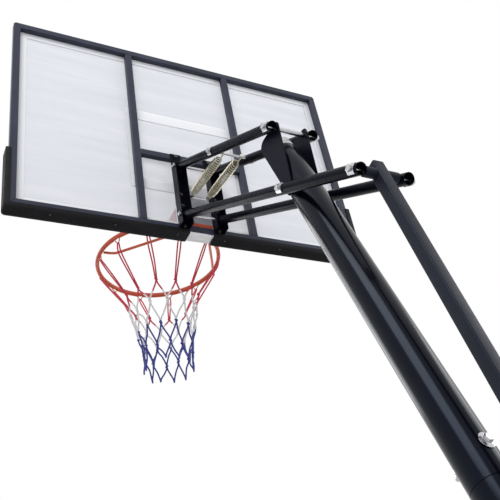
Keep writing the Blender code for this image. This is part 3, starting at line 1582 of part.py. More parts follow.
def make_wheel(word, empties):
    """A transport wheel."""
    centre = PIVOTS["wheel_" + word]
    half = WHEEL_WIDTH / 2
    radius = WHEEL_DIAMETER / 2
    bore = WHEEL_AXLE / 2 + SHAFT_PLAY
    web = half * 0.55
    bm = bmesh.new()
    outline = (
        (-half, bore),
        (-half, radius * 0.36),
        (-web, radius * 0.42),
        (-web, radius * 0.75),
        (-half, radius * 0.78),
        (-half, radius * 0.93),
        (-half * 0.7, radius),
        (half * 0.7, radius),
        (half, radius * 0.93),
        (half, radius * 0.78),
        (web, radius * 0.72),
        (web, radius * 0.42),
        (half, radius * 0.36),
        (half, bore),
    )
    turned(bm, centre, X_AXIS, outline, 16, closed=True)
    finish(bm, "wheel_" + word, "rubber", "wheel_" + word, empties, smooth=True)


def make_wheel_axle(empties):
    """The axle through both lugs, with a nut outside each wheel."""
    bm = bmesh.new()
    half = WHEEL_X + WHEEL_WIDTH / 2 + WHEEL_END_PLAY
    capped_rod(bm, Vector((0, WHEEL_Y, WHEEL_Z)), half, WHEEL_AXLE)
    finish(bm, "wheel_axle", "zinc", "root", empties)


def build():
    """Make every piece of the hoop."""
    clear_scene()
    empties = make_pivots()
    make_panel(empties)
    make_frame(empties)
    for word, side in (("left", 1), ("right", -1)):
        make_pad("edge_pad_" + word, side, empties)
        make_bracket("board_bracket_" + word, side, empties)
        make_spring("spring_" + word, side, empties)
        make_pivot_plate("pivot_plate_" + word, side, empties)
        make_wheel(word, empties)
    make_bracket_bolts(empties)
    make_rim_ring(empties)
    make_rim_bracket(empties)
    make_back_plate(empties)
    make_rim_bolts(empties)
    make_rim_brace(empties)
    make_hook_wire(empties)
    make_net(empties)
    make_front_pivot("upper_front_bolt", UPPER_FRONT, empties)
    make_front_pivot("lower_front_bolt", LOWER_FRONT, empties)
    make_tie_plate(empties)
    make_arms(empties)
    make_arm_bolt("upper_pivot_bolt", UPPER_POLE, "upper_arms", empties)
    make_arm_bolt("lower_pivot_bolt", LOWER_POLE, "lower_arms", empties)
    make_arm_bolt("rear_pivot_bolt", LOWER_REAR, "lower_arms", empties)
    make_spring_rod(empties)
    make_pole(empties)
    make_pole_cap(empties)
    make_seam_bolts(empties)
    make_pivot_spacer(empties)
    make_strut(empties)
    make_adjuster(empties)
    make_clamp(empties)
    make_handle(empties)
    make_tank(empties)
    make_ballast(empties)
    make_filler_cap(empties)
    make_socket(empties)
    make_base_braces(empties)
    make_wheel_axle(empties)


build()
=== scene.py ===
"""A free-standing basketball hoop in a pale studio, seen from behind and below."""

import math

import bmesh
import bpy
from mathutils import Matrix, Vector


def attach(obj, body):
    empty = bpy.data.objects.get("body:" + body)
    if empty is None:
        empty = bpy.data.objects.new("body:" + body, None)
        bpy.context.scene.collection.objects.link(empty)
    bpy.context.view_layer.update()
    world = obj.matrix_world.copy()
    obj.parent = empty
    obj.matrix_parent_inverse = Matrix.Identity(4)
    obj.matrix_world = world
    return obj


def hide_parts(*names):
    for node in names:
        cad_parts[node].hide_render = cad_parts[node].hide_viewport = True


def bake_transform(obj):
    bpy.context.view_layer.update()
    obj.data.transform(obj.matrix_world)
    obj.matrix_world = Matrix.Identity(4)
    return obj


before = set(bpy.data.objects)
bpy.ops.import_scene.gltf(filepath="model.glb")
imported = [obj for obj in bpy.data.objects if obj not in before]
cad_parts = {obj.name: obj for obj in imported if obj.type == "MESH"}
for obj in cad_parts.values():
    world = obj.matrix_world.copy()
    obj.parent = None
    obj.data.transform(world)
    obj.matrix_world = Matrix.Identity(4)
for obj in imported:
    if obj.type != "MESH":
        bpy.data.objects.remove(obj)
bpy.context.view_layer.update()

# The model's own sizes, in metres and radians, with counts and shares
GAP = 0.0003
BOARD_REAR_Y = -0.8295
FRAME_Z = 2.887
HALF_WIDTH = 0.64
BOARD_HEIGHT = 0.87
FRAME_TUBE = 0.025
FRAME_DEPTH = 0.020
PANEL_FRONT = -0.0245
INNER_UPRIGHT_X = 0.2045
CROSSBAR_HEIGHT = 0.333
TARGET_HALF = 0.229
TARGET_LOW = 0.180
TARGET_HIGH = 0.560
TARGET_BAND = 0.046
RIM_ABOVE = 0.161
RIM_ROD = 0.016
RING_RADIUS = 0.233
RING_DEPTH = -0.4005
HOOK_COUNT = 12
HOOK_DROP = 0.016
HOOK_WIRE = 0.004
HOOK_SPREAD = 0.012
BACK_PLATE_HALF = 0.073
BACK_PLATE_LOW = 0.034
BACK_PLATE_HIGH = 0.175
BACK_PLATE_SHEET = 0.005
LIP_HALF = 0.0448
RIM_SHEET = 0.003
BRACE_ROD = 0.005
NET_TOP = RIM_ABOVE - RIM_ROD / 2 - HOOK_WIRE - HOOK_DROP - 0.00225 - 2 * GAP
NET_LENGTH = 0.445
NET_DROP = 0.145
NET_KNOT_RADIUS = 0.138
NET_WAIST = 0.082
NET_SHARES = (0.0, 0.24, 0.49, 0.75, 1.0)
NET_CORD = 0.0030
NET_BLUE = 0.37
NET_WHITE = 0.61
PAD_THICKNESS = 0.012
PAD_HEIGHT = 0.232
PAD_CENTRE = 0.046
CHANNEL_HALF = 0.020
CHANNEL_DEPTH = 0.038
CHANNEL_SHEET = 0.0025
CHANNEL_LOW = 0.0066
CHANNEL_LENGTH = 0.3384
TIE_HALF = 0.0432
TIE_SHEET = 0.0025
TIE_LOW = 0.026
TIE_HIGH = 0.039
ARM_X = 0.0635
ARM_RADIUS = 0.015
BOLT = 0.010
SPRING_ROD = 0.008
SPRING_X = 0.031
SPRING_ROD_REACH = 0.307
SPRING_RADIUS = 0.015
SPRING_WIRE = 0.0025
SPRING_PITCH = 0.0105
SPRING_FRONT_END = 0.018
SPRING_REAR_END = 0.031
TUBE_WALL = 0.0016
ARM_ANGLE = math.radians(32.8)
ARM_LENGTH = 0.693
ARM_REST = 0.330
POLE_RADIUS = 0.0425
POLE_WALL = 0.0022
POLE_LEAN = math.radians(17.8)
POLE_OFFSET = 0.5107
STRUT_LEAN = math.radians(11.3)
STRUT_HALF = 0.015
SLEEVE_RADIUS = 0.013
SLEEVE_REACH = 0.0475
KNOB_X = 0.0229
KNOB_RADIUS = 0.031
BOW_HIGH = 0.740
BOW_LOW = 0.900
BOW_REACH = 0.062
BOW_ROD = 0.006
GRIP_RADIUS = 0.013
CLAMP_REACH = 1.150
STRUT_TOP = 0.032
STRUT_LENGTH = 1.180
SEAMS = (1.675, 0.657)
SEAM_BOLT_RISE = 0.061
PLATE_EAR = 0.019
PLATE_EAR_LOW = 0.0145
POLE_TOP_RADIUS = 0.0365
POLE_TOP_Z = FRAME_Z - 0.145
POLE_TAPER_Z = FRAME_Z - 0.250
CAP_HEIGHT = 0.048
CAP_DOME = 0.010
LIFT = math.radians(65)
TANK_REAR = 1.471
TANK_FRONT = 0.371
TANK_HALF = 0.38
TANK_HEIGHT = 0.17
WHEEL_X = 0.26
WHEEL_Y = 0.309
WHEEL_Z = 0.055
WHEEL_RADIUS = 0.050
WHEEL_HALF = 0.018
LUG_RADIUS = 0.018
LUG_INNER = 0.224
LUG_OUTER = 0.238
FILL_X = TANK_HALF * 0.56
FILL_Y = TANK_REAR - 0.16
FOOT_HALF = 0.085
FOOT_SHEET = 0.005
BRACE_RADIUS = 0.011
BRACE_TOP = 0.600
BRACE_FOOT_Y = 1.180
BRACE_PLAY = 0.0015
BRACE_LUG_HALF = 0.0434

SIDES = (("left", 1), ("right", -1))
X = Vector((1, 0, 0))
Y = Vector((0, 1, 0))
Z = Vector((0, 0, 1))
POLE_AXIS = Vector((0, -math.sin(POLE_LEAN), math.cos(POLE_LEAN)))
FORWARD = Vector((0, -math.cos(ARM_ANGLE), math.sin(ARM_ANGLE)))
STRUT_DOWN = Vector((0, math.sin(STRUT_LEAN), -math.cos(STRUT_LEAN)))
STRUT_BACK = Vector((0, math.cos(STRUT_LEAN), math.sin(STRUT_LEAN)))


def at(x, depth, height):
    """A point given from the board frame's rear face and lower edge."""
    return Vector((x, BOARD_REAR_Y + depth, FRAME_Z + height))


def pole_at(height):
    """The point of the pole's axis at a height above the ground."""
    drop = FRAME_Z - height
    return Vector((0, BOARD_REAR_Y + POLE_OFFSET + drop * math.tan(POLE_LEAN), height))


UPPER_FRONT = at(0, 0.024, 0.269)
LOWER_FRONT = at(0, 0.024, 0.049)
UPPER_POLE = UPPER_FRONT - FORWARD * ARM_LENGTH
LOWER_POLE = LOWER_FRONT - FORWARD * ARM_LENGTH
LOWER_REAR = LOWER_POLE - FORWARD * ARM_REST
SPRING_REAR = UPPER_FRONT - FORWARD * SPRING_ROD_REACH
SPRING_FRONT = at(0, 0.024, 0.140)
CLAMP_POINT = LOWER_REAR + STRUT_DOWN * CLAMP_REACH
RING_CENTRE = at(0, RING_DEPTH, RIM_ABOVE)


# Camera

def make_camera():
    """The camera behind and below the board, as in the photograph."""
    data = bpy.data.cameras.new("camera")
    data.lens = 55.17
    data.sensor_width = 36
    camera = bpy.data.objects.new("camera", data)
    bpy.context.collection.objects.link(camera)
    place = at(0.9518, 1.8444, -1.5629)
    right = Vector((-0.8951, 0.4183, -0.1547))
    up = Vector((0.1327, 0.5809, 0.8031))
    back = Vector((0.4258, 0.6983, -0.5754))
    turn = Matrix((right, up, back)).transposed()
    camera.matrix_world = Matrix.Translation(place) @ turn.to_quaternion().to_matrix().to_4x4()
    bpy.context.scene.camera = camera


# Materials

class Nodes:
    """A short way to write a material's node tree."""

    def __init__(self, name):
        self.material = bpy.data.materials.new(name)
        self.material.use_nodes = True
        self.tree = self.material.node_tree
        self.shader = self.tree.nodes["Principled BSDF"]
        self.place = self.add("ShaderNodeTexCoord").outputs["Object"]

    def add(self, kind, **values):
        node = self.tree.nodes.new(kind)
        for key, value in values.items():
            if hasattr(node, key):
                setattr(node, key, value)
            else:
                node.inputs[key.replace("_", " ")].default_value = value
        return node

    def link(self, source, target):
        self.tree.links.new(source, target)

    def noise(self, scale, detail=4.0, roughness=0.55, stretch=None):
        node = self.add("ShaderNodeTexNoise", Scale=scale, Detail=detail, Roughness=roughness)
        source = self.place
        if stretch:
            mapping = self.add("ShaderNodeMapping")
            mapping.inputs["Scale"].default_value = stretch
            self.link(source, mapping.inputs["Vector"])
            source = mapping.outputs["Vector"]
        self.link(source, node.inputs["Vector"])
        return node.outputs["Fac"]

    def ramp(self, source, stops, interpolation="LINEAR"):
        node = self.add("ShaderNodeValToRGB")
        node.color_ramp.interpolation = interpolation
        while len(node.color_ramp.elements) < len(stops):
            node.color_ramp.elements.new(0.5)
        for element, (position, colour) in zip(node.color_ramp.elements, stops):
            element.position = position
            element.color = (*colour, 1.0)
        self.link(source, node.inputs["Fac"])
        return node.outputs["Color"]

    def span(self, source, low, high, source_low=0.0, source_high=1.0):
        node = self.add("ShaderNodeMapRange")
        values = (source_low, source_high, low, high)
        for index, value in enumerate(values):
            node.inputs[index + 1].default_value = value
        self.link(source, node.inputs["Value"])
        return node.outputs["Result"]

    def bump(self, source, strength, distance):
        node = self.add("ShaderNodeBump", Strength=strength, Distance=distance)
        self.link(source, node.inputs["Height"])
        self.link(node.outputs["Normal"], self.shader.inputs["Normal"])

    def feed(self, node, sources):
        """Set or link a node's numbered inputs."""
        for index, source in sources.items():
            if isinstance(source, (int, float, tuple)):
                node.inputs[index].default_value = source
            else:
                self.link(source, node.inputs[index])

    def maths(self, operation, first, second):
        node = self.add("ShaderNodeMath", operation=operation)
        self.feed(node, {0: first, 1: second})
        return node.outputs[0]

    def mix(self, share, first, second, blend_type="MIX"):
        node = self.add("ShaderNodeMix", data_type="RGBA", blend_type=blend_type)
        self.feed(node, {0: share, 6: first, 7: second})
        return node.outputs[2]

    def border(self, split, middle, half, low, high, width):
        """1 on the band that runs inside a rectangle's edge across X and Z, else 0."""
        across = self.maths("ABSOLUTE", self.maths("SUBTRACT", split.outputs["X"], middle[0]), 0)
        up = self.maths("SUBTRACT", split.outputs["Z"], middle[1] + (low + high) / 2)
        up = self.maths("ABSOLUTE", up, 0)
        fields = [self.maths("MULTIPLY", self.maths("LESS_THAN", across, half - inset),
                             self.maths("LESS_THAN", up, (high - low) / 2 - inset))
                  for inset in (0, width)]
        return self.maths("SUBTRACT", *fields)

    def set(self, **values):
        for key, value in values.items():
            self.shader.inputs[key.replace("_", " ")].default_value = value


def shade(colour, factor):
    """A colour made lighter or darker."""
    return tuple(min(1.0, channel * factor) for channel in colour)


def surface(name, mottle, stops, gloss_scale, gloss, relief, strength, distance, **values):
    """A material with mottled colour, uneven gloss and a fine relief."""
    n = Nodes(name)
    fac = n.noise(*mottle)
    n.link(n.ramp(fac, stops), n.shader.inputs["Base Color"])
    patches = n.noise(*gloss_scale) if gloss_scale else fac
    n.link(n.span(patches, *gloss), n.shader.inputs["Roughness"])
    n.bump(n.noise(*relief), strength, distance)
    n.set(**values)
    return n.material


def paint(name, colour, rough, dust=1.35, gloss=0.5, tint=(1, 1, 1, 1)):
    """Sprayed paint: faint mottling, a fine orange peel and rubbed patches."""
    stops = ((0.30, shade(colour, 0.80)), (0.55, colour), (0.80, shade(colour, dust)))
    return surface(name, (9.0, 5.0), stops, (38.0, 6.0), (rough * 0.78, rough * 1.25),
                   (900.0, 2.0), 0.10, 0.0004, Coat_Roughness=0.12, Specular_IOR_Level=gloss,
                   Specular_Tint=tint)


def metal(name, colour, rough, stretch=None):
    """Plated steel with soft streaks."""
    stops = ((0.25, shade(colour, 0.72)), (0.75, colour))
    return surface(name, (55.0, 5.0, 0.6, stretch), stops, None, (rough * 0.7, rough * 1.5),
                   (700.0, 3.0), 0.08, 0.0003, Metallic=1.0)


def moulded(name, colour, rough, grain):
    """Moulded plastic or rubber with a fine grained skin."""
    stops = ((0.3, shade(colour, 0.7)), (0.75, shade(colour, 1.5)))
    return surface(name, (14.0, 5.0), stops, (60.0, 4.0), (rough * 0.85, rough * 1.15),
                   (grain, 3.0, 0.7), 0.30, 0.0004, Specular_IOR_Level=0.15)


def panel_material():
    """Clear sheet that is lightly frosted, with faint level bands and its white print."""
    n = Nodes("panel_sheet")
    origin = bpy.data.objects["backboard_panel"].matrix_world.translation
    band = n.noise(7.0, 4.0, 0.5, (0.25, 1.0, 3.0))
    stops = ((0.30, (0.59, 0.62, 0.70)), (0.55, (0.66, 0.68, 0.76)), (0.75, (0.73, 0.75, 0.81)))
    split = n.add("ShaderNodeSeparateXYZ")
    n.link(n.place, split.inputs["Vector"])
    middle = (-origin.x, FRAME_Z - origin.z)
    print_mask = n.maths("MAXIMUM", n.border(split, middle, HALF_WIDTH, 0.0, BOARD_HEIGHT, 0.050),
                         n.border(split, middle, TARGET_HALF, TARGET_LOW, TARGET_HIGH, TARGET_BAND))
    n.link(n.mix(print_mask, n.ramp(band, stops), (0.90, 0.91, 0.95, 1)),
           n.shader.inputs["Base Color"])
    n.link(n.span(print_mask, 0.42, 0.90), n.shader.inputs["Alpha"])
    n.link(n.span(n.noise(30.0, 5.0), 0.16, 0.30), n.shader.inputs["Roughness"])
    n.bump(n.noise(12.0, 3.0), 0.04, 0.001)
    return n.material


def net_material(low, high):
    """Polyester cord in three bands, red over white over blue, with a fine lay."""
    n = Nodes("net_cord")
    split = n.add("ShaderNodeSeparateXYZ")
    n.link(n.place, split.inputs["Vector"])
    share = n.span(split.outputs["Z"], 0.0, 1.0, low, high)
    stops = ((0.0, (0.035, 0.050, 0.33)), (NET_BLUE, (0.97, 0.97, 0.98)),
             (NET_WHITE, (0.72, 0.024, 0.070)))
    lay = n.ramp(n.noise(260.0, 4.0), ((0.3, (0.55, 0.55, 0.58)), (0.7, (1.0, 1.0, 1.0))))
    n.link(n.mix(0.22, n.ramp(share, stops, "CONSTANT"), lay, "MULTIPLY"),
           n.shader.inputs["Base Color"])
    wave = n.add("ShaderNodeTexWave", Scale=330.0, Distortion=3.0, Detail=2.0)
    wave.bands_direction = "DIAGONAL"
    n.link(n.place, wave.inputs["Vector"])
    n.bump(wave.outputs["Fac"], 0.7, 0.0008)
    n.set(Roughness=0.8, Sheen_Weight=0.3)
    return n.material


NAVY = (0.62, 0.76, 1.0, 1)

LOOK = {
    "frame": paint("frame_paint", (0.034, 0.038, 0.060), 0.42, gloss=0.18),
    "strut": paint("strut_paint", (0.0130, 0.0140, 0.0230), 0.40, gloss=0.15, tint=NAVY),
    "pole": paint("pole_paint", (0.0026, 0.0028, 0.0066), 0.17, gloss=0.15, tint=NAVY),
    "arm": paint("arm_paint", (0.0026, 0.0028, 0.0068), 0.26, gloss=0.04, tint=NAVY),
    "bracket": paint("bracket_paint", (0.0046, 0.0049, 0.0105), 0.38, gloss=0.05, tint=NAVY),
    # Black oxide for the screws and bolts; the springs' inward faces also take it as painted shade.
    "oxide_and_shade": metal("black_oxide_and_shade", (0.10, 0.10, 0.11), 0.34),
    "rim": paint("rim_paint", (0.56, 0.085, 0.035), 0.42, dust=1.15),
    "zinc": metal("zinc_plate", (0.66, 0.66, 0.69), 0.20),
    "sheet": metal("zinc_sheet", (0.82, 0.82, 0.84), 0.36, (0.2, 1.0, 1.0)),
    "spring": metal("spring_plate", (0.62, 0.58, 0.44), 0.30),
    "pad": moulded("pad_plastic", (0.0050, 0.0050, 0.0066), 0.62, 420.0),
    "tank": moulded("tank_plastic", (0.016, 0.016, 0.019), 0.56, 260.0),
    "rubber": moulded("rubber_skin", (0.014, 0.014, 0.015), 0.78, 500.0),
    "sand": moulded("sand_fill", (0.50, 0.41, 0.28), 0.95, 300.0),
    "panel": panel_material(),
    "print": surface("board_print", (20.0, 5.0),
                     ((0.2, (0.90, 0.90, 0.91)), (0.8, (0.96, 0.96, 0.96))),
                     (90.0, 3.0), (0.38, 0.50), (600.0, 2.0), 0.05, 0.0002),
}


# Mesh helpers

def solid(name, bm):
    """An object of a mesh whose faces are turned outward."""
    bmesh.ops.recalc_face_normals(bm, faces=bm.faces)
    mesh = bpy.data.meshes.new(name)
    bm.to_mesh(mesh)
    bm.free()
    item = bpy.data.objects.new(name, mesh)
    bpy.context.collection.objects.link(item)
    return item


def add(name, bm, body, look, node=None, bevel=0.0, segments=2, angle=35):
    """Turn a mesh in the model's places into a piece of the dressed part."""
    bmesh.ops.remove_doubles(bm, verts=bm.verts, dist=1e-6)
    piece = solid(name, bm)
    piece.data.materials.append(LOOK[look])
    piece.data.shade_smooth()
    piece.data.set_sharp_from_angle(angle=math.radians(angle))
    if body:
        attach(piece, body)
    if node:
        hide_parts(node)
    if bevel:
        modifier = piece.modifiers.new("edges", "BEVEL")
        modifier.width = bevel
        modifier.segments = segments
        modifier.limit_method = "ANGLE"
        modifier.angle_limit = math.radians(40)
        modifier.harden_normals = True
    return piece


def carve(piece, bm, operation="DIFFERENCE"):
    """Boolean a piece with a mesh before its bevel and keep the result."""
    tool = solid("tool", bm)
    bevels = list(piece.modifiers)
    for modifier in bevels:
        modifier.show_viewport = False
    boolean = piece.modifiers.new("carve", "BOOLEAN")
    boolean.operation = operation
    boolean.object = tool
    graph = bpy.context.evaluated_depsgraph_get()
    graph.update()
    result = bpy.data.meshes.new_from_object(piece.evaluated_get(graph))
    piece.modifiers.remove(boolean)
    for modifier in bevels:
        modifier.show_viewport = True
    result.shade_smooth()
    result.set_sharp_from_angle(angle=math.radians(35))
    result.name = piece.name
    piece.data = result
    bpy.data.objects.remove(tool, do_unlink=True)


def side_axes(axis):
    """Two directions across an axis; the first is X wherever it can be."""
    across = X if abs(axis.x) < 0.9 else Y
    first = (across - axis * across.dot(axis)).normalized()
    return first, axis.cross(first)


def bridge(bm, low, high):
    """Faces between two loops of equal length."""
    count = len(low)
    for k in range(count):
        after = (k + 1) % count
        bm.faces.new((low[k], low[after], high[after], high[k]))


def skin(bm, loops, closed=False):
    """Faces between loops that follow each other, with the ends capped or joined."""
    for low, high in zip(loops, loops[1:]):
        bridge(bm, low, high)
    if closed:
        bridge(bm, loops[-1], loops[0])
    else:
        bm.faces.new(loops[0])
        bm.faces.new(loops[-1])


def hexagon(radius, angle):
    """How far a hexagon's side is at an angle."""
    return radius * math.cos(math.pi / 6) / math.cos(angle % (math.pi / 3) - math.pi / 6)


def turned(bm, origin, axis, outline, sides, closed=False, shape=hexagon):
    """A turned solid from (distance along the axis, radius[, whether shaped]) steps."""
    first, second = side_axes(axis)
    loops = []
    for step in outline:
        loop = []
        for k in range(sides):
            angle = 2 * math.pi * k / sides
            reach = step[1]
            if len(step) > 2 and step[2]:
                reach = shape(reach, angle)
            place = origin + axis * step[0]
            place += first * (reach * math.cos(angle)) + second * (reach * math.sin(angle))
            loop.append(bm.verts.new(place))
        loops.append(loop)
    skin(bm, loops, closed)
    return loops


def rod(bm, start, end, radius, sides=24):
    """A plain round bar with softened ends."""
    span = (end - start).length
    soft = min(radius * 0.25, span * 0.2)
    outline = ((0, radius - soft), (soft, radius), (span - soft, radius), (span, radius - soft))
    turned(bm, start, (end - start).normalized(), outline, sides)


def tube(bm, start, end, radius, wall, sides):
    """A round tube, open at both ends, with softened rims."""
    span = (end - start).length
    inner = radius - wall
    soft = wall * 0.35
    outline = ((0, inner), (0, radius - soft), (soft, radius), (span - soft, radius),
               (span, radius - soft), (span, inner))
    turned(bm, start, (end - start).normalized(), outline, sides, closed=True)


def prism(bm, outline, shift):
    """A solid swept straight from a closed outline of points."""
    low = [bm.verts.new(place) for place in outline]
    high = [bm.verts.new(place + shift) for place in outline]
    skin(bm, (low, high))


def plate(bm, outline, one, other):
    """A flat plate across X, between two places, from an outline of (Y, Z) points."""
    low, high = sorted((one, other))
    prism(bm, [Vector((low, y, z)) for y, z in outline], X * (high - low))


def board_plate(bm, outline, one, other):
    """A flat plate across X from an outline of (depth, height) points of the board."""
    plate(bm, [(BOARD_REAR_Y + depth, FRAME_Z + height) for depth, height in outline], one, other)


def box(bm, low, high):
    """A box between two corners."""
    outline = [Vector((x, y, low[2])) for x, y in
               ((low[0], low[1]), (high[0], low[1]), (high[0], high[1]), (low[0], high[1]))]
    prism(bm, outline, Z * (high[2] - low[2]))


def rounded(corners, radius, steps):
    """Points round the corners' arcs; the corners are the arcs' centres, anticlockwise."""
    points = []
    for quarter, (u, v) in enumerate(corners):
        for k in range(steps + 1):
            angle = math.pi / 2 * (quarter + k / steps)
            points.append((u + radius * math.cos(angle), v + radius * math.sin(angle)))
    return points


def arc(centre, radius, start, end, steps):
    """Points of an arc in a (Y, Z) outline; angles from +Y towards +Z."""
    angles = [start + (end - start) * k / steps for k in range(steps + 1)]
    return [(centre[0] + radius * math.cos(a), centre[1] + radius * math.sin(a)) for a in angles]


def smooth_path(points, steps):
    """Points of a smooth curve through the given ones."""
    last = len(points) - 1
    result = []
    for k in range(last):
        p = [points[min(max(k + j, 0), last)] for j in (-1, 0, 1, 2)]
        for step in range(steps):
            t = step / steps
            a = p[1] * 2
            b = (p[2] - p[0]) * t
            c = (p[0] * 2 - p[1] * 5 + p[2] * 4 - p[3]) * t ** 2
            d = (p[1] * 3 - p[0] - p[2] * 3 + p[3]) * t ** 3
            result.append((a + b + c + d) / 2)
    return result + [points[-1]]


def sweep(bm, path, radius, sides=10, closed=False):
    """A round bar or cord along a path."""
    loops = []
    count = len(path)
    first = None
    for k, place in enumerate(path):
        if closed:
            along = path[(k + 1) % count] - path[k - 1]
        else:
            along = path[min(k + 1, count - 1)] - path[max(k - 1, 0)]
        along.normalize()
        if first is None:
            first = side_axes(along)[0]
        first = (first - along * first.dot(along)).normalized()
        second = along.cross(first)
        loop = []
        for side in range(sides):
            angle = 2 * math.pi * side / sides
            offset = first * math.cos(angle) + second * math.sin(angle)
            loop.append(bm.verts.new(place + offset * radius))
        loops.append(loop)
    if closed:
        shift = closest_turn(loops[-1], loops[0])
        loops.append(loops[0][shift:] + loops[0][:shift])
    for low, high in zip(loops, loops[1:]):
        bridge(bm, low, high)
    if not closed:
        bm.faces.new(loops[0])
        bm.faces.new(loops[-1])


def closest_turn(loop, target):
    """How far a closed sweep's last ring is turned from its first."""
    gaps = [(target[k].co - loop[0].co).length for k in range(len(target))]
    return gaps.index(min(gaps))


def ring_at(angle, radius=RING_RADIUS, drop=0.0):
    """A point round the ring; angle 0 is +X and a quarter turn is +Y."""
    out = Vector((math.cos(angle), math.sin(angle), 0))
    return RING_CENTRE + out * radius - Z * drop


def hook_turn(index):
    """Where a hook stands round the ring."""
    return math.pi / 2 + 2 * math.pi * index / HOOK_COUNT


# Board

def frame_bar(bm, start, end, first, start_turn=0, end_turn=0):
    """One tube of the board's frame, mitred where a turn is given."""
    along = (end - start).normalized()
    corners = ((-1, -1), (1, -1), (1, 1), (-1, 1))
    loops = []
    for place, turn in ((start, start_turn), (end, end_turn)):
        loop = []
        for a, b in corners:
            side = a * FRAME_TUBE / 2
            point = place + first * side + Y * (b * FRAME_DEPTH / 2) + along * (turn * side)
            loop.append(bm.verts.new(point))
        loops.append(loop)
    skin(bm, loops)


def make_board():
    """The tube frame behind the panel and the white lines on the panel's front."""
    half = FRAME_TUBE / 2
    middle = -FRAME_DEPTH / 2
    side = HALF_WIDTH - half
    top = BOARD_HEIGHT - half
    bm = bmesh.new()
    for height, turn in ((half, 1), (top, -1)):
        frame_bar(bm, at(-side + GAP, middle, height), at(side - GAP, middle, height), Z, turn, -turn)
    for x, turn in ((-side, 1), (side, -1)):
        frame_bar(bm, at(x, middle, half + GAP), at(x, middle, top - GAP), X, turn, -turn)
    for x in (-INNER_UPRIGHT_X, INNER_UPRIGHT_X):
        frame_bar(bm, at(x, middle, FRAME_TUBE + GAP), at(x, middle, top - half - GAP), X)
    reach = INNER_UPRIGHT_X - half - GAP
    frame_bar(bm, at(-reach, middle, CROSSBAR_HEIGHT), at(reach, middle, CROSSBAR_HEIGHT), Z)
    tubes = add("frame_tubes", bm, "board", "frame", "backboard_frame", 0.0024, 3)
    tool = bmesh.new()
    radius, wide, high = 0.012, HALF_WIDTH + 0.0004, BOARD_HEIGHT + 0.0004
    corners = ((wide - radius, high - radius), (-wide + radius, high - radius),
               (-wide + radius, radius - 0.0004), (wide - radius, radius - 0.0004))
    prism(tool, [at(x, -0.03, z) for x, z in rounded(corners, radius, 8)], Y * 0.04)
    carve(tubes, tool, "INTERSECT")

    bm = bmesh.new()
    front = PANEL_FRONT - 0.0002
    back = PANEL_FRONT - 0.0001

    def stripe(x, low, high, width):
        for a, b, c, d in ((-x, x, low, low + width), (-x, x, high - width, high),
                           (-x, -x + width, low + width, high - width),
                           (x - width, x, low + width, high - width)):
            box(bm, at(a, front, c), at(b, back, d))

    stripe(HALF_WIDTH - 0.001, 0.001, BOARD_HEIGHT - 0.001, 0.049)
    stripe(TARGET_HALF, TARGET_LOW, TARGET_HIGH, TARGET_BAND)
    add("board_lines", bm, "board", "print")


def pad_section():
    """The padding's section as (distance outside the frame, depth) points."""
    front = PANEL_FRONT - 0.0255
    points = [(GAP, GAP), (-0.006, GAP), (-0.006, 0.0034), (-0.0052, 0.0042), (0.0095, 0.0042)]
    points += [(0.0112, 0.0034), (0.012, 0.0015)]
    groove = ((0.012, 0.004), (0.0108, 0.0052), (0.0108, 0.0062), (0.012, 0.0074))
    points += [(out, -deep - 0.007 * k) for k in range(5) for out, deep in groove]
    for k in range(7):
        angle = math.pi / 2 * k / 6
        points.append((0.005 + 0.007 * math.cos(angle), front + 0.007 - 0.007 * math.sin(angle)))
    points += [(-0.029, front), (-0.030, front + 0.001), (-0.030, PANEL_FRONT - GAP)]
    points.append((GAP, PANEL_FRONT - GAP))
    return points


def make_pad(word, side):
    """One half of the moulded edge padding, with its grooves and screws."""
    bm = bmesh.new()
    stations = [("side", PAD_HEIGHT), ("side", PAD_HEIGHT - 0.0012)]
    stations += [("corner", math.pi / 2 * k / 10) for k in range(11)]
    stations += [("bottom", PAD_CENTRE + 0.0012), ("bottom", PAD_CENTRE)]
    loops = []
    for index, (kind, value) in enumerate(stations):
        loop = []
        for out, depth in pad_section():
            if index in (0, len(stations) - 1):
                out -= 0.0008 if out > 0.001 else 0
            if kind == "side":
                x, height = HALF_WIDTH + out, value
            elif kind == "bottom":
                x, height = value, -out
            elif out > GAP:
                x, height = HALF_WIDTH + out * math.cos(value), -out * math.sin(value)
            else:
                x, height = HALF_WIDTH + out, -out
            loop.append(bm.verts.new(at(side * x, depth, height)))
        loops.append(loop)
    skin(bm, loops)
    add("padding_" + word, bm, "board", "pad", "edge_pad_" + word)
    bm = bmesh.new()
    for x in (0.086, 0.30, 0.51):
        outline = ((-0.0018, 0.0018), (-0.0014, 0.0030), (0.0004, 0.0034), (0.0004, 0.0015))
        turned(bm, at(side * x, -0.010, -PAD_THICKNESS), Z, outline, 20)
    add("padding_screws_" + word, bm, "board", "oxide_and_shade")


# Rim

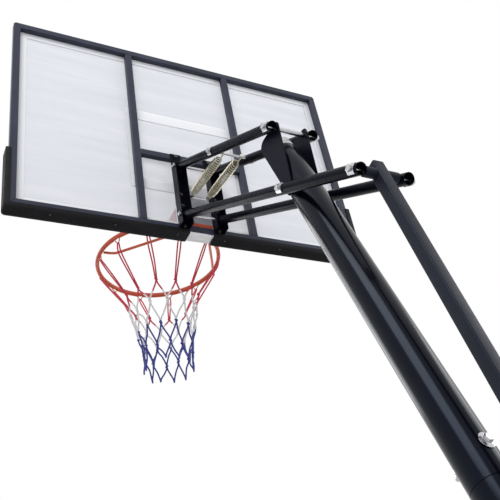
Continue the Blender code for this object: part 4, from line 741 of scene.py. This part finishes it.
def make_rim():
    """The ring with its bracket, brace, hook wire and back plate."""
    bm = bmesh.new()
    path = [ring_at(2 * math.pi * k / 128) for k in range(128)]
    sweep(bm, path, RIM_ROD / 2, 20, closed=True)
    add("ring", bm, "board", "rim", "rim_ring")

    bm = bmesh.new()
    under = RIM_ROD / 2 + HOOK_WIRE / 2 + GAP
    spread = HOOK_SPREAD / RING_RADIUS
    path = []
    for hook in range(HOOK_COUNT):
        middle = hook_turn(hook)
        for k in range(13):
            share = k / 12
            sag = HOOK_DROP * math.sin(math.pi * share)
            turn = middle + spread * (2 * share - 1)
            path.append(ring_at(turn, RING_RADIUS - sag * 0.25, under + sag))
        for k in range(1, 4):
            turn = middle + spread + (2 * math.pi / HOOK_COUNT - 2 * spread) * k / 4
            path.append(ring_at(turn, RING_RADIUS, under))
    sweep(bm, path, HOOK_WIRE / 2, 10, closed=True)
    add("hook_wire", bm, "board", "rim", "net_hook_wire")

    bm = bmesh.new()
    half = 0.05
    sheet = RIM_SHEET
    top = RIM_ABOVE + sheet / 2
    low = 0.050
    back = PANEL_FRONT - 0.0056
    front = RING_DEPTH + RING_RADIUS * 0.8
    shape = ((-half, low), (-half, top), (half, top), (half, low), (half - sheet, low),
             (half - sheet, top - sheet), (-half + sheet, top - sheet), (-half + sheet, low))
    prism(bm, [at(x, front, height) for x, height in shape], Y * (back - front))
    bracket = add("ring_bracket", bm, "board", "rim", "rim_bracket", 0.0008)
    tool = bmesh.new()
    room = RING_RADIUS + RIM_ROD / 2 + GAP
    turned(tool, RING_CENTRE - Z * 0.2, Z, ((0, room), (0.4, room)), 128)
    carve(bracket, tool)
    tool = bmesh.new()
    cut = ((back + 0.02, low - 0.05), (back, low), (front, top - 0.017), (front - 0.02, low - 0.05))
    board_plate(tool, cut, -half - 0.01, half + 0.01)
    carve(bracket, tool)

    bm = bmesh.new()
    rear = PANEL_FRONT - GAP
    face = rear - BACK_PLATE_SHEET
    box(bm, at(-BACK_PLATE_HALF, face, BACK_PLATE_LOW), at(BACK_PLATE_HALF, rear, BACK_PLATE_HIGH))
    lip = bmesh.new()
    shape = ((face, 0.044), (face, 0.0022), (face - 0.019, -0.0038), (-0.0012, -0.0038),
             (-0.0012, -0.0003), (rear, -0.0003), (rear, 0.044))
    board_plate(lip, shape, -LIP_HALF, LIP_HALF)
    sheet_piece = add("back_plate", bm, "board", "sheet", "rim_back_plate", 0.0008)
    carve(sheet_piece, lip, "UNION")

    bm = bmesh.new()
    radius = BRACE_ROD
    start = ring_at(math.radians(4), RING_RADIUS - RIM_ROD / 2 - radius - GAP, 0.002)
    knee = at(0.196, -0.335, 0.122)
    foot = at(0.036, face - radius * 0.924 - GAP, 0.033)
    near = foot + Vector((0.010, -0.015, 0.004))
    bend = [start, start.lerp(knee, 0.72), start.lerp(knee, 0.97) + Vector((-0.004, 0.004, 0)),
            knee.lerp(near, 0.10), knee.lerp(near, 0.94), near.lerp(foot, 0.5), foot + X * 0.002]
    other = [Vector((-p.x, p.y, p.z)) for p in reversed(bend)]
    middle = [Vector((x, foot.y, foot.z)) for x in (foot.x - 0.002, 0, 0.002 - foot.x)]
    sweep(bm, bend + middle + other, radius, 16)
    add("ring_brace", bm, "board", "rim", "rim_brace")


# Net

def net_radius(share):
    """The net's radius at a share of its length below the first knots."""
    flare = 0.006 * max(0.0, share - 0.75) / 0.25
    return NET_WAIST + (NET_KNOT_RADIUS - NET_WAIST) * (1 - share) ** 1.35 + flare


def net_knot(row, index):
    """The place of a knot; rows are staggered by half a step and hang a little unevenly."""
    share = NET_SHARES[row]
    turn = hook_turn(index + row % 2 / 2)
    wobble = 0.008 * math.sin(index * 2.4 + row * 1.7) * (0.3 + share) ** 0.5
    place = ring_at(turn + wobble * 3.0, net_radius(share) + wobble * 0.5)
    place.z = FRAME_Z + NET_TOP - NET_DROP - (NET_LENGTH - NET_DROP) * share + wobble
    return place


def outward(place):
    """The level direction from the ring's axis to a place."""
    return Vector((place.x - RING_CENTRE.x, place.y - RING_CENTRE.y, 0)).normalized()


def make_net():
    """Double strands from the hooks to the first knots, and a knotted mesh below them."""
    low = FRAME_Z + NET_TOP - NET_LENGTH - 0.02
    LOOK["net"] = net_material(low, FRAME_Z + NET_TOP)
    bm = bmesh.new()
    last = len(NET_SHARES) - 1
    for row in range(last):
        for index in range(HOOK_COUNT):
            start = net_knot(row, index)
            for turn in (-1, 1):
                step = (turn - 1) // 2 + row % 2
                end = net_knot(row + 1, (index + step) % HOOK_COUNT)
                out = outward(start.lerp(end, 0.5))
                across = out.cross(Z) * turn
                sag = 0.003 * math.sin(index * 1.9 + row * 2.3 + step)
                bow = start.lerp(end, 0.5) - out * 0.003 + Z * sag
                first = start.lerp(end, 0.16) - Z * 0.004 + across * 0.001
                later = start.lerp(end, 0.84) + Z * 0.003 - across * 0.001
                sweep(bm, smooth_path([start, first, bow, later, end], 4), NET_CORD, 7)
    for row in range(last):
        for index in range(HOOK_COUNT):
            place = net_knot(row, index)
            out = outward(place)
            across = out.cross(Z)
            path = []
            for k in range(13):
                angle = 2 * math.pi * k / 12
                offset = across * (0.0042 * math.cos(angle)) + out * (0.0034 * math.sin(angle))
                path.append(place + offset + Z * (0.0026 * math.cos(angle)))
            sweep(bm, path, NET_CORD * 0.9, 6)
    for index in range(HOOK_COUNT):
        high = ring_at(hook_turn(index), 0.229)
        high.z = FRAME_Z + NET_TOP
        knot = net_knot(0, index)
        out = outward(high)
        aside = Z.cross(out)
        behind = math.atan2(out.y, abs(out.x))
        push = 0.016 if abs(behind - math.radians(30)) < 0.2 else 0.0
        sway = 0.004 * math.sin(index * 3.1)
        for side in (-1, 1):
            shoulder = high.lerp(knot, 0.25) + out * push + aside * (side * 0.0058)
            waist = high.lerp(knot, 0.62) + out * (push * 0.4) + aside * (side * 0.0044 + sway)
            crown = high + Z * 0.001 + aside * (side * 0.0035)
            points = [high + Z * 0.0028, crown, shoulder, waist, knot + aside * (side * 0.0022)]
            sweep(bm, smooth_path(points, 5), NET_CORD * 0.92, 7)
    add("net_cords", bm, "board", "net", "net")


# Lift

def make_brackets():
    """The two channels behind the board and the plate between them."""
    for word, side in SIDES:
        bm = bmesh.new()
        inner, outer, sheet = ARM_X - CHANNEL_HALF, ARM_X + CHANNEL_HALF, CHANNEL_SHEET
        shape = ((inner, GAP), (outer, GAP), (outer, CHANNEL_DEPTH), (outer - sheet, CHANNEL_DEPTH),
                 (outer - sheet, GAP + sheet), (inner + sheet, GAP + sheet),
                 (inner + sheet, CHANNEL_DEPTH), (inner, CHANNEL_DEPTH))
        prism(bm, [at(side * x, depth, CHANNEL_LOW) for x, depth in shape], Z * CHANNEL_LENGTH)
        channel = add("channel_" + word, bm, "board", "bracket",
                      "board_bracket_" + word, 0.0008)
        tool = bmesh.new()
        cut = ((GAP + sheet, 0.36), (0.06, 0.36), (0.06, 0.287), (0.040, 0.287), (0.030, 0.295),
               (GAP + sheet, 0.295))
        board_plate(tool, cut, side * (inner - 0.01), side * (outer + 0.01))
        carve(channel, tool)
        pin = bmesh.new()
        turned(pin, SPRING_FRONT, X * side, ((0.0230, 0.0052), (0.0236, 0.0062), (0.0246, 0.0062),
                                             (0.0250, 0.0040), (inner + 0.001, 0.0040)), 24)
        add("spring_pin_" + word, pin, "board", "zinc")
    bm = bmesh.new()
    box(bm, at(-TIE_HALF, -TIE_SHEET, TIE_LOW), at(TIE_HALF, 0, TIE_HIGH))
    add("tie_plate", bm, "board", "rim", "bracket_tie_plate", 0.0006)


def hex_stack(bm, middle, half, shank, head=True):
    """A bolt across X: a hexagon head on one side, a nut and thread on the other."""
    size = shank * 0.92
    start = middle + X * half
    height = shank * 0.6
    outline = [(-height, size * 0.80, True), (-height * 0.82, size, True), (-0.0006, size, True),
               (0, size * 0.9), (0, shank / 2), (2 * half, shank / 2), (2 * half, size * 0.9),
               (2 * half + 0.0006, size, True), (2 * half + shank * 0.74, size, True),
               (2 * half + shank * 0.8, size * 0.86, True), (2 * half + shank * 0.8, shank / 2)]
    if not head:
        cap = [(-shank * 1.1, shank * 0.40), (-shank * 0.8, shank / 2),
               (-shank * 0.8, size * 0.86, True), (-shank * 0.74, size, True), (-0.0006, size, True)]
        outline = cap + outline[3:]
    tip = 2 * half + shank * 0.8
    for k in range(4):
        outline.append((tip + shank * (0.06 + 0.08 * k), shank * 0.5))
        outline.append((tip + shank * (0.10 + 0.08 * k), shank * 0.45))
    turned(bm, start, -X, outline, 24)


def saddle(bm, place, side):
    """A pressed washer curved round the outside of an arm."""
    steps = 10
    up = FORWARD.cross(X)
    centre = place + X * (side * ARM_X)
    outline = []
    for reach, order in ((ARM_RADIUS + GAP, range(steps + 1)), (0.0178, range(steps, -1, -1))):
        for k in order:
            angle = math.radians(-50 + 100 * k / steps)
            offset = X * (side * reach * math.cos(angle)) + up * (reach * math.sin(angle))
            outline.append(centre + offset - FORWARD * 0.013)
    prism(bm, outline, FORWARD * 0.026)


def bolt_set(node, body, place, half, shank=BOLT, head=True, saddles=False, bevel=0.0):
    """The plated bolt across X, with its nut and washers, that stands for one node."""
    bm = bmesh.new()
    hex_stack(bm, place, half, shank, head)
    if saddles:
        for side in (-1, 1):
            saddle(bm, place, side)
    add(node + "_set", bm, body, "zinc", node, bevel)


def make_arms():
    """Four round arms with their bolts, curved washers and the springs' rod."""
    tail = FORWARD * 0.020
    nose = FORWARD * 0.012
    for word, side in SIDES:
        across = X * (side * ARM_X)
        for level, rear, front in (("upper", UPPER_POLE, UPPER_FRONT),
                                   ("lower", LOWER_REAR, LOWER_FRONT)):
            bm = bmesh.new()
            tube(bm, rear - tail + across, front + nose + across, ARM_RADIUS, TUBE_WALL, 56)
            add(level + "_tube_" + word, bm, level + "_arms", "arm",
                level + "_arm_" + word)
    for node, place, body in (("upper_pivot_bolt", UPPER_POLE, "upper_arms"),
                              ("lower_pivot_bolt", LOWER_POLE, "lower_arms"),
                              ("rear_pivot_bolt", LOWER_REAR, "lower_arms"),
                              ("spring_rod", SPRING_REAR, "upper_arms")):
        bolt = node != "spring_rod"
        bolt_set(node, body, place, ARM_X + ARM_RADIUS + 0.0030, BOLT if bolt else SPRING_ROD, bolt,
                 True, 0.0003)
    for node, place in (("upper_front_bolt", UPPER_FRONT), ("lower_front_bolt", LOWER_FRONT)):
        bolt_set(node, "board", place, ARM_X + CHANNEL_HALF + GAP)


def make_springs():
    """Two coil springs whose hooks hold the pins and the rod, with the coils' inward faces darkened
    as painted shade.
    """
    wire = SPRING_WIRE
    begin = SPRING_FRONT_END
    end = SPRING_REAR_END
    hook = SPRING_ROD / 2 + wire + GAP
    steps = 16
    for word, side in SIDES:
        front = SPRING_FRONT + X * (side * SPRING_X)
        rear = SPRING_REAR + X * (side * SPRING_X)
        along = (rear - front).normalized()
        span = (rear - front).length
        across = along.cross(X)
        turns = int((span - begin - end) / SPRING_PITCH)
        pitch = (span - begin - end) / turns

        def hook_points(centre, away):
            points = []
            for k in range(15):
                turn = math.radians(-155 + 245 * k / 14)
                points.append(centre - away * (hook * math.cos(turn))
                              + across * (hook * math.sin(turn)))
            return points

        path = hook_points(front, along)
        for back, out in ((0.55, 0.46), (0.78, 0.68)):
            path.append(front + along * (begin * back) + across * (SPRING_RADIUS * out))
        for k in range(turns * steps + 1):
            angle = 2 * math.pi * k / steps
            taper = min(1.0, 0.80 + 0.20 * min(k, turns * steps - k) / (steps * 3.0))
            reach = (SPRING_RADIUS - wire) * taper
            path.append(front + along * (begin + pitch * k / steps)
                        + across * (reach * math.cos(angle)) + X * (reach * math.sin(angle)))
        for back, out in ((0.72, 0.66), (0.45, 0.42)):
            path.append(rear - along * (end * back) + across * (SPRING_RADIUS * out))
        path += reversed(hook_points(rear, -along))
        bm = bmesh.new()
        sweep(bm, path, wire, 8)
        name = "spring_" + word
        piece = add(name + "_coil", bm, None, "spring", name, angle=60)
        # The dark oxide material on the coil's inward-facing faces is painted shade between the
        # turns.
        piece.data.materials.append(LOOK["oxide_and_shade"])
        for face in piece.data.polygons:
            arm = face.center - front
            arm -= along * arm.dot(along)
            if face.normal.dot(arm) < -0.2 * arm.length:
                face.material_index = 1
        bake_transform(piece)


# Pole and strut

def pole_length(high, low):
    """Distance along the pole's axis between two heights."""
    return (high - low) / math.cos(POLE_LEAN)


def make_pole():
    """Three tube sections, the ringed cap, the head's plates and sleeve, and the seam bolts."""
    wall, r = POLE_WALL, POLE_RADIUS
    shoulder = pole_length(POLE_TAPER_Z, SEAMS[0])
    length = pole_length(POLE_TOP_Z, SEAMS[0])
    bm = bmesh.new()
    outline = [(0.00015, r - wall), (0.00015, r - 0.0006), (0.0008, r), (shoulder, r)]
    for k in range(1, 9):
        share = k / 8
        ease = math.sin(share * math.pi / 2) ** 1.6
        outline.append((shoulder + (length - shoulder) * share,
                        r + (POLE_TOP_RADIUS - r) * ease * share))
    outline += [(length, POLE_TOP_RADIUS - wall), (shoulder, r - wall)]
    turned(bm, pole_at(SEAMS[0]), POLE_AXIS, outline, 72, closed=True)
    add("pole_top_section", bm, "root", "pole", "pole_upper")
    neck = r - wall - 2 * GAP
    for name, node, low, high in (("pole_mid_section", "pole_middle", SEAMS[1], SEAMS[0]),
                                  ("pole_low_section", "pole_lower", TANK_HEIGHT, SEAMS[1])):
        bm = bmesh.new()
        length = pole_length(high, low)
        outline = [(GAP / 2, r - wall), (GAP / 2, r - 0.0006), (0.0008, r), (length - 0.0010, r),
                   (length - GAP, r - 0.0007), (length - GAP, neck), (length + 0.09, neck),
                   (length + 0.09, neck - wall), (length - 0.006, neck - wall),
                   (length - 0.012, r - wall)]
        loops = turned(bm, pole_at(low), POLE_AXIS, outline, 72, closed=True)
        if node == "pole_lower":
            floor = TANK_HEIGHT + 2 * GAP + FOOT_SHEET
            for vert in loops[0] + loops[1] + loops[2]:
                vert.co += POLE_AXIS * ((floor - vert.co.z) / POLE_AXIS.z)
        add(name, bm, "root", "pole", node)
    bm = bmesh.new()
    rim = POLE_TOP_RADIUS + 0.001
    outline = [(-0.020, 0.027), (GAP, 0.027), (GAP, rim - 0.0008), (0.001, rim)]
    for k in range(3):
        base = 0.0096 + 0.0110 * k
        size = rim - 0.0012 * k
        outline += [(base, size), (base + 0.0008, size - 0.0030), (base + 0.0046, size - 0.0030),
                    (base + 0.0054, size - 0.0004)]
    for k in range(1, 7):
        angle = math.pi / 2 * k / 7
        outline.append((CAP_HEIGHT - CAP_DOME + CAP_DOME * math.sin(angle),
                        (rim - 0.004) * math.cos(angle)))
    outline.append((CAP_HEIGHT, 0.004))
    turned(bm, pole_at(POLE_TOP_Z), POLE_AXIS, outline, 56)
    add("pole_end_cap", bm, "root", "sheet", "pole_cap")
    for word, side in SIDES:
        bm = bmesh.new()
        up = (UPPER_POLE.y, UPPER_POLE.z)
        down = (LOWER_POLE.y, LOWER_POLE.z)
        nose = (UPPER_POLE.y - 0.064, UPPER_POLE.z - 0.004)
        shape = arc(up, PLATE_EAR, 0, math.radians(95), 14)
        shape += arc(nose, 0.024, math.radians(95), math.radians(200), 16)
        shape += arc(down, PLATE_EAR_LOW, math.radians(200), math.radians(360), 24)
        plate(bm, shape, side * (r + GAP), side * (r + GAP + 0.003))
        add("head_plate_" + word, bm, "root", "bracket", "pivot_plate_" + word,
            0.0009)
    bm = bmesh.new()
    tube(bm, UPPER_POLE - X * r, UPPER_POLE + X * r, 0.007, TUBE_WALL, 36)
    add("head_spacer", bm, "root", "zinc", "upper_pivot_spacer")
    rear = POLE_AXIS.cross(X)
    for word, seam in (("upper", SEAMS[0]), ("lower", SEAMS[1])):
        bm = bmesh.new()
        place = pole_at(seam + SEAM_BOLT_RISE)
        seat = r + GAP
        size = 0.0092
        for turn in (-1, 1):
            outline = [(0, 0.0162), (0.0004, 0.0165), (0.0014, 0.0165), (0.0030, 0.0128),
                       (0.0042, 0.0105), (0.0042, size, True), (0.0096, size, True),
                       (0.0106, size * 0.85, True)]
            if turn < 0:
                outline += [(0.0106, 0.005), (0.0170, 0.005), (0.0176, 0.0042)]
            turned(bm, place + rear * (turn * seat), rear * turn, outline, 30)
        rod(bm, place - rear * seat, place + rear * seat, 0.005)
        node = "pole_seam_bolt_" + word
        add(node + "_set", bm, "root", "zinc", node)


def soft_tube(name, start, end, first, second, size, body, look, node):
    """A square tube with rounded corners, open at its ends."""
    bm = bmesh.new()
    along = (end - start).normalized()
    span = (end - start).length
    loops = []
    for shrink, places in ((0, (0, span)), (TUBE_WALL, (span, 0))):
        for place in places:
            radius = max(0.004 - shrink, 0.001)
            half = size / 2 - shrink - radius
            corners = ((half, half), (-half, half), (-half, -half), (half, -half))
            loops.append([bm.verts.new(start + along * place + first * u + second * v)
                          for u, v in rounded(corners, radius, 5)])
    skin(bm, loops, closed=True)
    return add(name, bm, body, look, node)


def make_strut():
    """The square strut with its sleeve, the adjuster, the knob and the handle."""
    start = LOWER_REAR - STRUT_DOWN * STRUT_TOP
    end = LOWER_REAR + STRUT_DOWN * STRUT_LENGTH
    strut = soft_tube("strut_bar", start, end, X, STRUT_BACK, 2 * STRUT_HALF, "strut", "strut",
                      "strut_tube")
    chop = bmesh.new()
    corner = start - STRUT_BACK * 0.016
    prism(chop, [corner - X * 0.03 - STRUT_DOWN * 0.01, corner - X * 0.03 + STRUT_DOWN * 0.012,
                 corner - X * 0.03 + STRUT_BACK * 0.016 - STRUT_DOWN * 0.01], X * 0.06)
    carve(strut, chop)
    bm = bmesh.new()
    reach = X * SLEEVE_REACH
    tube(bm, LOWER_REAR - reach, LOWER_REAR + reach, SLEEVE_RADIUS, SLEEVE_RADIUS - 0.0054, 40)
    add("strut_cross_sleeve", bm, "strut", "strut")

    inner, outer = 0.0154, 0.0184
    centre = CLAMP_POINT - (LOWER_REAR - LOWER_POLE)
    middle = (centre.y, centre.z)
    first, last = -ARM_ANGLE, LIFT - ARM_ANGLE
    edge = 0.022 / ARM_REST
    curve = arc(middle, ARM_REST + 0.022, first - edge, last + edge, 40)

    def behind(height, offset):
        return pole_at(height).y + (POLE_RADIUS + offset) / math.cos(POLE_LEAN), height

    top, low = curve[-1][1], curve[0][1]
    bm = bmesh.new()
    plate(bm, curve + [behind(top, GAP), behind(low, GAP)], -outer, outer)
    bracket = add("adjuster_frame", bm, "root", "bracket", "adjuster_bracket",
                  0.0008)
    tool = bmesh.new()
    far = middle[0] + ARM_REST + 0.13
    plate(tool, [behind(top + 0.1, GAP + 0.003), behind(low - 0.1, GAP + 0.003), (far, low - 0.1),
                 (far, top + 0.1)], -inner, inner)
    carve(bracket, tool)
    half = 0.0058
    slot = []
    for begin, finish, away, turn in ((first, last, half, last),
                                      (last, first, -half, first + math.pi)):
        slot += arc(middle, ARM_REST + away, begin, finish, 40)
        tip = arc(middle, ARM_REST, finish, finish, 1)[0]
        slot += arc(tip, half, turn, turn + math.pi, 10)[1:-1]
    tool = bmesh.new()
    plate(tool, slot, -outer - 0.01, outer + 0.01)
    carve(bracket, tool)

    bm = bmesh.new()
    rim = KNOB_RADIUS
    levels = ((0, 0.0054, 0), (0, rim * 0.55, 0), (0.004, rim * 0.82, 1), (0.006, rim * 0.92, 1),
              (0.009, rim, 1), (0.017, rim, 1), (0.021, rim * 0.95, 1), (0.0235, rim * 0.80, 1),
              (0.024, rim * 0.45, 0), (0.024, 0.0054, 0), (0.0168, 0.0054, 0))
    turned(bm, CLAMP_POINT + X * KNOB_X, X, levels, 72, closed=True,
           shape=lambda radius, angle: radius * (1 + 0.08 * math.cos(6 * angle)))
    add("star_knob", bm, "clamp", "tank", "clamp_knob")

    face = STRUT_HALF + GAP
    high = LOWER_REAR + STRUT_DOWN * BOW_HIGH
    deep = LOWER_REAR + STRUT_DOWN * BOW_LOW
    bend = 0.016
    path = [high + STRUT_BACK * face]
    for corner, one, two in ((high, -STRUT_BACK, STRUT_DOWN), (deep, -STRUT_DOWN, -STRUT_BACK)):
        apex = corner + STRUT_BACK * (face + BOW_REACH)
        for k in range(9):
            share = k / 8
            path.append(apex + one * (bend * (1 - share) ** 2) + two * (bend * share ** 2))
    path.append(deep + STRUT_BACK * face)
    bm = bmesh.new()
    sweep(bm, path, BOW_ROD, 20)
    add("bow_handle", bm, "strut", "strut", "strut_handle")
    bm = bmesh.new()
    out = STRUT_BACK * (face + BOW_REACH)
    begin = high + out + STRUT_DOWN * (bend * 1.3)
    span = (deep + out - STRUT_DOWN * (bend * 1.3) - begin).length
    bore = BOW_ROD + GAP
    skin_low = GRIP_RADIUS - 0.001
    outline = [(0, bore), (0, skin_low), (0.001, GRIP_RADIUS), (0.003, GRIP_RADIUS)]
    count = 13
    for k in range(count):
        base = 0.006 + (span - 0.012) * k / count
        outline += [(base, GRIP_RADIUS), (base + 0.001, skin_low), (base + 0.003, skin_low),
                    (base + 0.004, GRIP_RADIUS)]
    outline += [(span - 0.001, GRIP_RADIUS), (span, skin_low), (span, bore)]
    turned(bm, begin, STRUT_DOWN, outline, 36, closed=True)
    add("handle_sleeve", bm, "strut", "rubber", "handle_grip")


# Base

def tank_loop(bm, inset, height):
    """A rounded rectangle of the tank's plan at a height."""
    corner = max(0.090 - inset, 0.02)
    half = TANK_HALF - inset
    low, high = TANK_FRONT + inset, TANK_REAR - inset
    corners = ((half - corner, high - corner), (-half + corner, high - corner),
               (-half + corner, low + corner), (half - corner, low + corner))
    return [bm.verts.new((x, y, height)) for x, y in rounded(corners, corner, 12)]


def make_base():
    """The blow-moulded tank with its lugs, braces, foot plate, fill cap, wheels and axle."""
    levels = [(0.014, 0), (0.006, 0.003), (0.0015, 0.008), (0, 0.014), (0, 0.030), (0.003, 0.033),
              (0.003, 0.039), (0, 0.042), (0, 0.086), (0.003, 0.089), (0.003, 0.095), (0, 0.098),
              (0.003, 0.112), (0.010, 0.128), (0.021, 0.146), (0.034, 0.158), (0.047, 0.166),
              (0.060, 0.170), (0.075, 0.170), (0.079, 0.1665), (0.090, 0.1665), (0.094, 0.170)]
    bm = bmesh.new()
    skin(bm, [tank_loop(bm, inset, height) for inset, height in levels])
    tank = add("base_shell", bm, "root", "tank", "base_tank")
    end = Vector((0, BRACE_FOOT_Y, TANK_HEIGHT + 0.024))
    for side in (1, -1):
        ear = bmesh.new()
        shape = [(TANK_FRONT + 0.003, WHEEL_Z + 0.034), (TANK_FRONT + 0.003, WHEEL_Z - 0.030)]
        shape += arc((WHEEL_Y, WHEEL_Z), LUG_RADIUS, math.radians(250), math.radians(100), 14)
        plate(ear, shape, side * LUG_INNER, side * LUG_OUTER)
        carve(tank, ear, "UNION")
    lug = bmesh.new()
    base = TANK_HEIGHT - 0.003
    shape = arc((end.y, end.z), LUG_RADIUS, math.radians(30), math.radians(150), 14)
    shape += [(end.y - 0.040, base), (end.y + 0.040, base)]
    plate(lug, shape, -BRACE_LUG_HALF, BRACE_LUG_HALF)
    carve(tank, lug, "UNION")
    tool = bmesh.new()
    for side in (-1, 1):
        for k in range(4):
            x = side * (0.13 + 0.045 * k)
            box(tool, (x - 0.006, 0.60, TANK_HEIGHT - 0.003), (x + 0.006, 1.12, TANK_HEIGHT + 0.01))
    carve(tank, tool)

    x = POLE_RADIUS + BRACE_RADIUS + BRACE_PLAY
    top = pole_at(BRACE_TOP)
    along = (end - top).normalized()
    for word, side in SIDES:
        bm = bmesh.new()
        across = X * (side * x)
        tube(bm, top + across - along * 0.016, end + across + along * 0.016, BRACE_RADIUS,
             TUBE_WALL, 40)
        add("brace_tube_" + word, bm, "root", "frame", "base_brace_" + word)
    for node, place in (("brace_bolt_top", top), ("brace_bolt_foot", end)):
        bolt_set(node, "root", place, x + BRACE_RADIUS + GAP)

    foot = pole_at(TANK_HEIGHT)
    bm = bmesh.new()
    low = TANK_HEIGHT + GAP
    box(bm, (-FOOT_HALF, foot.y - FOOT_HALF, low),
        (FOOT_HALF, foot.y + FOOT_HALF, low + FOOT_SHEET))
    add("foot_plate", bm, "root", "bracket", "pole_foot_socket", 0.0010)
    bm = bmesh.new()
    for sx in (-1, 1):
        for sy in (-1, 1):
            place = Vector((sx * 0.067, foot.y + sy * 0.067, low + FOOT_SHEET))
            outline = ((0, 0.0115), (0.0012, 0.0115), (0.0016, 0.009, True), (0.0066, 0.009, True),
                       (0.0076, 0.0074, True))
            turned(bm, place, Z, outline, 24)
    add("foot_plate_bolts", bm, "root", "zinc")

    bm = bmesh.new()
    place = Vector((FILL_X, FILL_Y, TANK_HEIGHT))
    steps = 72
    levels = ((-0.014, 0.0227), (GAP, 0.0247), (GAP, 0.0310, True), (0.001, 0.0317, True),
              (0.008, 0.0317, True), (0.0095, 0.0300), (0.012, 0.0277), (0.012, 0.011),
              (0.018, 0.009), (0.020, 0.007))

    def fluted(radius, angle):
        return radius - (0.0008 if round(angle * steps / (2 * math.pi)) % 4 < 2 else 0)

    turned(bm, place, Z, levels, steps, shape=fluted)
    add("fill_cap", bm, "root", "tank", "filler_cap")

    for word, side in SIDES:
        bm = bmesh.new()
        centre = Vector((side * WHEEL_X, WHEEL_Y, WHEEL_Z))
        r, half = WHEEL_RADIUS, WHEEL_HALF
        shares = ((1, 0.34), (0.9, 0.36), (0.5, 0.40), (0.5, 0.72), (0.95, 0.78), (1, 0.82),
                  (1, 0.92), (0.82, 0.98), (0.5, 1), (0.30, 1), (0.26, 0.965), (0.18, 0.965),
                  (0.14, 1))
        outline = [(-half, 0.0054)] + [(-half * wide, r * high) for wide, high in shares]
        outline += [(-a, b) for a, b in reversed(outline)]
        turned(bm, centre, X, outline, 64, closed=True)
        add("wheel_tyre_" + word, bm, "wheel_" + word, "rubber", "wheel_" + word)
    bm = bmesh.new()
    hex_stack(bm, Vector((0, WHEEL_Y, WHEEL_Z)), WHEEL_X + 0.020, BOLT, False)
    add("axle_rod", bm, "root", "zinc", "wheel_axle")


def dress_nodes():
    """Materials for the pieces that keep the model's own shapes."""
    looks = {
        "backboard_panel": "panel",
        "sand_ballast": "sand",
        "clamp_bolt": "zinc",
    }
    for word in ("left_low", "left_high", "right_low", "right_high"):
        looks["rim_bolt_" + word] = "oxide_and_shade"
        looks["bracket_bolt_" + word] = "oxide_and_shade"
    for name, look in looks.items():
        node = bpy.data.objects[name]
        node.data.materials.clear()
        node.data.materials.append(LOOK[look])


# Stage

def make_stage():
    """A pale floor, a white surround and soft lamps."""
    n = Nodes("floor")
    n.link(n.ramp(n.noise(3.0, 4.0), ((0.2, (0.90, 0.90, 0.90)), (0.8, (0.93, 0.93, 0.93)))),
           n.shader.inputs["Base Color"])
    n.set(Roughness=0.9)
    bm = bmesh.new()
    box(bm, (-9, -9, -0.02), (9, 9, 0))
    floor = solid("floor", bm)
    floor.data.materials.append(n.material)

    world = bpy.data.worlds.new("surround")
    bpy.context.scene.world = world
    world.use_nodes = True
    tree = world.node_tree
    background = tree.nodes["Background"]
    rays = tree.nodes.new("ShaderNodeLightPath")
    seen = rays.outputs["Is Camera Ray"]
    for ray in ("Is Transmission Ray", "Is Glossy Ray"):
        either = tree.nodes.new("ShaderNodeMath")
        either.operation = "MAXIMUM"
        tree.links.new(seen, either.inputs[0])
        tree.links.new(rays.outputs[ray], either.inputs[1])
        seen = either.outputs[0]
    level = tree.nodes.new("ShaderNodeMapRange")
    level.inputs["To Min"].default_value = 0.55
    level.inputs["To Max"].default_value = 1.0
    tree.links.new(seen, level.inputs["Value"])
    tree.links.new(level.outputs["Result"], background.inputs["Strength"])
    background.inputs["Color"].default_value = (1, 1, 1, 1)

    lamps = (("key", (2.6, 1.8, 5.6), (0, -0.2, 2.9), 2.6, 120),
             ("fill", (-3.2, 0.8, 3.8), (0, -0.4, 2.9), 2.2, 45),
             ("front", (0.4, -4.2, 4.4), (0, -0.8, 3.0), 2.6, 60))
    for name, place, target, size, power in lamps:
        data = bpy.data.lights.new(name, "AREA")
        data.size = size
        data.energy = power
        lamp = bpy.data.objects.new(name, data)
        lamp.location = place
        aim = Vector(target) - Vector(place)
        lamp.rotation_euler = aim.to_track_quat("-Z", "Y").to_euler()
        bpy.context.collection.objects.link(lamp)
    bpy.context.scene.view_settings.view_transform = "Standard"


make_camera()
make_board()
for word, side in SIDES:
    make_pad(word, side)
make_rim()
make_net()
make_brackets()
make_arms()
make_springs()
make_pole()
make_strut()
make_base()
dress_nodes()
make_stage()
